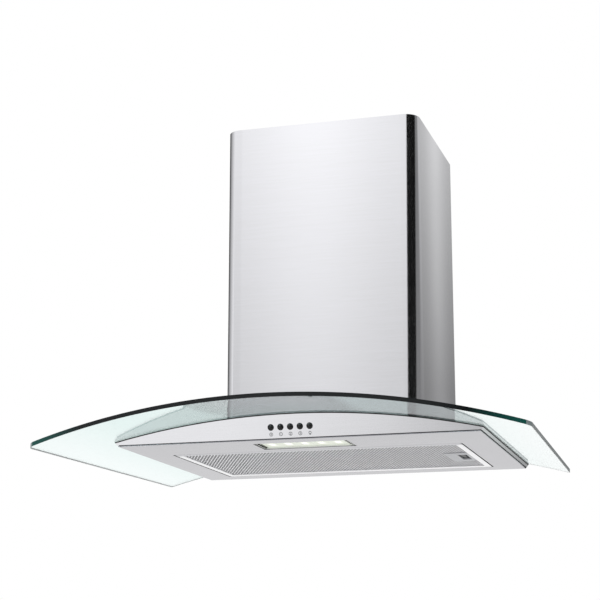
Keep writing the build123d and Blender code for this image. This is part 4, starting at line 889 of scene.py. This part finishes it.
def turned_profile(bm, profile):
    """Spins a profile of (radius, height) points about Z into a closed shape."""
    verts = [bm.verts.new((radius, 0, height)) for radius, height in profile]
    edges = [bm.edges.new(pair) for pair in zip(verts, verts[1:])]
    bmesh.ops.spin(
        bm,
        geom=verts + edges,
        cent=(0, 0, 0),
        axis=(0, 0, 1),
        angle=2 * math.pi,
        steps=40,
        use_merge=True,
    )
    bmesh.ops.remove_doubles(bm, verts=bm.verts[:], dist=1e-4)


def push_button(name, x):
    """A button: a domed cap with a straight skirt, on a thinner stem that reaches the switch."""
    bm = bmesh.new()
    dome = [(0.0, 2.3), (0.9, 2.24), (1.8, 2.02), (2.6, 1.62), (3.2, 1.1), (3.55, 0.55), (3.65, 0.0)]
    stem = [(3.65, -1.5), (2.4, -1.5), (2.4, -10.0), (0.0, -10.0)]
    turned_profile(bm, dome + stem)
    bmesh.ops.transform(bm, matrix=fascia_matrix(x, BUTTON_UP), verts=bm.verts[:])
    to_metres(bm)
    make_piece(bm, name + "_cap", (button_abs,), name + "_body", [name])


def printed_number(name, number, x):
    """A number in Blender's own font, as a thin print on the fascia."""
    curve = bpy.data.curves.new(name, "FONT")
    curve.body = number
    curve.size = MARK_HEIGHT
    curve.align_x = "CENTER"
    curve.align_y = "CENTER"
    curve.extrude = 0.01
    curve.offset = 0.08
    curve.resolution_u = 4
    stand = bpy.data.objects.new(name + "_curve", curve)
    bpy.context.collection.objects.link(stand)
    bpy.context.view_layer.update()
    mesh = bpy.data.meshes.new_from_object(stand)
    bpy.data.objects.remove(stand)
    bm = bmesh.new()
    bm.from_mesh(mesh)
    bmesh.ops.remove_doubles(bm, verts=bm.verts[:], dist=1e-4)
    bmesh.ops.transform(bm, matrix=fascia_matrix(x, MARK_UP, MARK_INK), verts=bm.verts[:])
    to_metres(bm)
    make_piece(bm, name, (printed_grey,), "hood")


def printed_ring(bm, outer, inner, matrix, segments=32):
    """A flat ring, drawn round the origin and then carried to its place."""
    rim = bmesh.ops.create_circle(bm, cap_ends=False, radius=outer, segments=segments)["verts"]
    edges = list({e for v in rim for e in v.link_edges})
    grown = bmesh.ops.extrude_edge_only(bm, edges=edges)["geom"]
    hole = [v for v in grown if isinstance(v, bmesh.types.BMVert)]
    bmesh.ops.scale(bm, vec=(inner / outer, inner / outer, 1.0), verts=hole)
    bmesh.ops.transform(bm, matrix=matrix, verts=rim + hole)


def fascia_marks():
    """Plain numbers in rings for off and the three speeds, and a lamp for the light."""
    first = BUTTON_ROW_X - 2 * BUTTON_PITCH
    bm = bmesh.new()
    for place in range(4):
        ring = fascia_matrix(first + place * BUTTON_PITCH, MARK_UP, MARK_LIFT)
        printed_ring(bm, outer=2.3, inner=1.75, matrix=ring)
    lamp = fascia_matrix(first + 4 * BUTTON_PITCH, MARK_UP, MARK_LIFT)
    printed_ring(bm, outer=1.8, inner=1.2, matrix=lamp @ Matrix.Translation((0, 0.5, 0)), segments=24)
    foot = bmesh.ops.create_grid(bm, x_segments=1, y_segments=1, size=0.5)["verts"]
    bmesh.ops.scale(bm, vec=(1.5, 1.0, 1.0), verts=foot)
    bmesh.ops.transform(bm, matrix=lamp @ Matrix.Translation((0, -1.7, 0)), verts=foot)
    bmesh.ops.solidify(bm, geom=bm.faces[:], thickness=MARK_INK)
    to_metres(bm)
    make_piece(bm, "button_rings", (printed_grey,), "hood")
    for place in range(4):
        printed_number(f"button_mark_{place}", str(place), first + place * BUTTON_PITCH)


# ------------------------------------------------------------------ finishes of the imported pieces
node_finishes = (
    (body_stainless, "body_shell"),
    (panel_stainless, "underside_panel"),
    (zinc_sheet, "chimney_bracket blower_box box_lid wall_hooks motor_bracket capacitor_clip"),
    (zinc_screw, "glass_screws glass_nuts motor_screws collar_screws switch_screws bracket_nuts"),
    (zinc_screw, "flap_pin motor_shaft filter_pins"),
    (bright_aluminium, "filter_frame"),
    (core_aluminium, "filter_core"),
    (seam_rubber, "seam_seal"),
    (seal_rubber, "glass_seal duct_seal_lower duct_seal_upper glass_bushes motor_grommets"),
    (fan_nylon, "scroll_left scroll_right impeller"),
    (black_abs, "outlet_collar flap_front flap_rear cable_gland button_guide switch_block filter_latch"),
    (case_abs, "terminal_box terminal_lid terminal_block led_driver capacitor"),
    (silver_abs, "latch_case"),
    (light_abs, "lamp_housing"),
    (lamp_lens_lit, "lamp_lens"),
    (board_lacquer, "led_board"),
    (led_yellow, "led_chips"),
    (motor_enamel, "motor_case"),
)
for finish, node_names in node_finishes:
    for node_name in node_names.split():
        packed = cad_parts[node_name]
        packed.data.materials.clear()
        packed.data.materials.append(finish)

glass_pane()
chimney_cover("lower_cover_folded", "lower_chimney", "hood", 0.0, 0.0, COVER_TOP, follows_glass=True)
chimney_cover(
    "upper_cover_folded",
    "upper_chimney",
    "upper_cover",
    COVER_NEST,
    UPPER_FOOT,
    COVER_TOP - UPPER_TOP_DROP,
    follows_glass=False,
)
expanded_mesh()
latch_coil()
for index, button_name in enumerate(
    ("button_off", "button_speed_1", "button_speed_2", "button_speed_3", "button_lamp")
):
    push_button(button_name, BUTTON_ROW_X + (index - 2) * BUTTON_PITCH)
fascia_marks()


# ------------------------------------------------------------------ camera
def place_camera():
    """Stands at the right of the hood, below it, and looks up, with the lens of a short telephoto."""
    camera_data = bpy.data.cameras.new("studio_camera")
    camera_data.sensor_width = 36.0
    camera_data.lens = 96.29
    camera_data.clip_start = 0.05
    camera_data.clip_end = 50.0
    camera = bpy.data.objects.new("studio_camera", camera_data)
    camera.location = (0.54681, -2.17587, -0.28635)
    camera.rotation_euler = (math.radians(90.0 + 13.49), 0.0, math.radians(16.41))
    bpy.context.collection.objects.link(camera)
    bpy.context.scene.camera = camera


# ------------------------------------------------------------------ studio
def white_world():
    """White for the camera, and in what metal and glass show of it. Dimmer light on everything else."""
    world = bpy.data.worlds.new("studio_world")
    world.use_nodes = True
    tree = world.node_tree
    tree.nodes.clear()
    path = add_node(tree, "ShaderNodeLightPath")
    seen = add_node(
        tree,
        "ShaderNodeMath",
        {0: path.outputs["Is Camera Ray"], 1: path.outputs["Is Glossy Ray"]},
        operation="MAXIMUM",
    )
    shown = add_node(
        tree,
        "ShaderNodeMath",
        {0: seen.outputs[0], 1: path.outputs["Is Transmission Ray"]},
        operation="MAXIMUM",
    )
    strength = add_node(
        tree, "ShaderNodeMapRange", {"Value": shown.outputs[0], "To Min": 0.6, "To Max": 1.0}
    )
    background = add_node(
        tree, "ShaderNodeBackground", {"Strength": strength.outputs[0], "Color": linear("#ffffff")}
    )
    out = add_node(tree, "ShaderNodeOutputWorld")
    tree.links.new(background.outputs[0], out.inputs["Surface"])
    bpy.context.scene.world = world


def card_material(name, axis, ends, glows, spot=None):
    """A matt screen of the studio, from one grey to another between two places along X (0), Y (1) or Z (2). A
    spot is the X of its brightest place, how far it fades and what is left there."""
    material, tree, out = new_material(name)
    places = object_place(tree)
    ranges = {"From Min": ends[0], "From Max": ends[1], "To Min": glows[0], "To Max": glows[1]}
    along = add_node(tree, "ShaderNodeMapRange", {"Value": places[axis], **ranges})
    glow = along.outputs[0]
    if spot:
        bright_x, reach, left = spot
        aside = add_node(tree, "ShaderNodeMath", {0: places[0], 1: bright_x}, operation="SUBTRACT")
        off = add_node(tree, "ShaderNodeMath", {0: aside.outputs[0]}, operation="ABSOLUTE")
        fade = add_node(
            tree,
            "ShaderNodeMapRange",
            {"Value": off.outputs[0], "From Max": reach, "To Min": 1.0, "To Max": left},
            interpolation_type="SMOOTHSTEP",
        )
        both = add_node(tree, "ShaderNodeMath", {0: glow, 1: fade.outputs[0]}, operation="MULTIPLY")
        glow = both.outputs[0]
    shader = add_node(tree, "ShaderNodeEmission", {"Strength": glow})
    tree.links.new(shader.outputs[0], out.inputs["Surface"])
    return material


def studio_card(name, material, turns, heights, distance=5.0, lean=(0.0, 0.0)):
    """A curved upright screen round the hood, between two turns in degrees from the front, positive to the
    right, and two heights. The lean moves the start and end of its head round by that many degrees."""
    bm = bmesh.new()
    steps = 24
    levels = 12 if any(lean) else 1
    rows = []
    for level in range(levels + 1):
        up = level / levels
        height = heights[0] + (heights[1] - heights[0]) * up
        first = turns[0] + lean[0] * up
        last = turns[1] + lean[1] * up
        row = []
        for step in range(steps + 1):
            turn = math.radians(first + (last - first) * step / steps)
            row.append(bm.verts.new((distance * math.sin(turn), -distance * math.cos(turn), height)))
        rows.append(row)
    for under, over in zip(rows, rows[1:]):
        for i in range(steps):
            bmesh.ops.contextual_create(bm, geom=[under[i], under[i + 1], over[i + 1], over[i]])
    mesh = bpy.data.meshes.new(name)
    bm.to_mesh(mesh)
    bm.free()
    mesh.materials.append(material)
    card = bpy.data.objects.new(name, mesh)
    bpy.context.collection.objects.link(card)
    card.visible_camera = False
    card.visible_diffuse = False
    card.visible_transmission = False
    card.visible_shadow = False


def floor_paper(name):
    """White paper, matt to the camera. Metal and glass show it as lit unevenly, as a sweep of paper is."""
    material, tree, out = new_material(name)
    paper = add_node(tree, "ShaderNodeBsdfDiffuse", {"Color": linear("#f6f6f6")})
    x, y, _ = object_place(tree)
    start, end = FLOOR_GLOW[0][0], FLOOR_GLOW[-1][0]
    along = add_node(tree, "ShaderNodeMapRange", {"Value": y, "From Min": start, "From Max": end})
    ramp = add_node(tree, "ShaderNodeValToRGB", {0: along.outputs[0]})
    stops = ramp.color_ramp.elements
    stops.remove(stops[0])
    for i, (stop_y, strength) in enumerate(FLOOR_GLOW):
        position = (stop_y - start) / (end - start)
        stop = stops[0] if i == 0 else stops.new(position)
        stop.position = position
        stop.color = (strength, strength, strength, 1.0)
    level = ramp.outputs[0]
    for x_range, y_range, depths in FLOOR_SHADES:
        aside = add_node(
            tree, "ShaderNodeMapRange", {"Value": x, "From Min": x_range[0], "From Max": x_range[1]}
        )
        ranges = {"From Min": y_range[0], "From Max": y_range[1], "To Min": depths[0], "To Max": depths[1]}
        back = add_node(tree, "ShaderNodeMapRange", {"Value": y, **ranges})
        shade = add_node(
            tree, "ShaderNodeMath", {0: aside.outputs[0], 1: back.outputs[0]}, operation="MULTIPLY"
        )
        darker = add_node(tree, "ShaderNodeMath", {0: level, 1: shade.outputs[0]}, operation="SUBTRACT")
        level = darker.outputs[0]
    glow = add_node(tree, "ShaderNodeEmission", {"Strength": level})
    path = add_node(tree, "ShaderNodeLightPath")
    seen = add_node(
        tree,
        "ShaderNodeMath",
        {0: path.outputs["Is Glossy Ray"], 1: path.outputs["Is Transmission Ray"]},
        operation="MAXIMUM",
    )
    shader = add_node(
        tree, "ShaderNodeMixShader", {0: seen.outputs[0], 1: paper.outputs[0], 2: glow.outputs[0]}
    )
    tree.links.new(shader.outputs[0], out.inputs["Surface"])
    return material


def studio_floor():
    """A round plain floor under the hood."""
    bm = bmesh.new()
    bmesh.ops.create_circle(bm, cap_ends=True, radius=FLOOR_RADIUS, segments=64)
    bmesh.ops.translate(bm, vec=(0, 0, FLOOR_Z), verts=bm.verts[:])
    mesh = bpy.data.meshes.new("studio_floor")
    bm.to_mesh(mesh)
    bm.free()
    mesh.materials.append(floor_paper("white_studio_floor"))
    floor = bpy.data.objects.new("studio_floor", mesh)
    bpy.context.collection.objects.link(floor)


def soft_box(name, place, target, size, power):
    """A soft lamp that metal and glass don't mirror."""
    lamp_data = bpy.data.lights.new(name, "AREA")
    lamp_data.shape = "RECTANGLE"
    lamp_data.size, lamp_data.size_y = size
    lamp_data.energy = power
    lamp = bpy.data.objects.new(name, lamp_data)
    lamp.location = place
    aim = Vector(target) - Vector(place)
    lamp.rotation_euler = aim.to_track_quat("-Z", "Y").to_euler()
    lamp.visible_glossy = False
    bpy.context.collection.objects.link(lamp)


place_camera()
white_world()
studio_floor()

# What the hood mirrors: a white scrim at the front, greys at the sides, and black flags for the dark lines
white_scrim = card_material("white_scrim", 2, (0.9, 2.2), (0.97, 1.34), spot=(-1.32, 0.42, 0.82))
side_cloth = card_material("grey_cloth", 1, (0.6, 2.4), (0.25, 0.33))
velvet = card_material("black_velvet", 2, (0.0, 4.0), (0.006, 0.006))
near_cloth = card_material("satin_cloth", 2, (0.387, 1.04), (0.42, 0.93), spot=(0.495, 0.058, 0.6))
pale_cloth = card_material("pale_cloth", 2, (0.95, 2.1), (0.3, 0.62))
left_felt = card_material("grey_felt", 1, (3.3, -2.4), (0.04, 1.08))
black_felt = card_material("black_felt", 2, (0.0, 4.0), (0.03, 0.03))
studio_card("front_scrim", white_scrim, (-62.0, 60.0), (0.45, 4.5))
studio_card("black_flag", velvet, (-8.3, 48.6), (0.1, 3.2), distance=4.7, lean=(49.8, 66.7))
studio_card("grey_screen", side_cloth, (45.0, 118.0), (0.35, 4.5))
studio_card("side_screen", pale_cloth, (118.0, 178.0), (-0.2, 4.5))
studio_card("near_screen", near_cloth, (150.0, 173.0), (0.15, 1.4), distance=1.56)
studio_card("left_screen", left_felt, (-131.0, -62.0), (0.45, 4.5))
studio_card("left_flag", black_felt, (-179.0, -131.0), (0.45, 4.5))
soft_box("key_softbox", (-1.9, -2.9, 2.6), (0.0, -0.2, 0.2), (3.2, 3.2), 60.0)
soft_box("low_fill", (-0.9, -2.4, -0.45), (0.0, -0.3, 0.0), (1.6, 0.5), 6.0)

bpy.context.scene.view_settings.view_transform = "Standard"
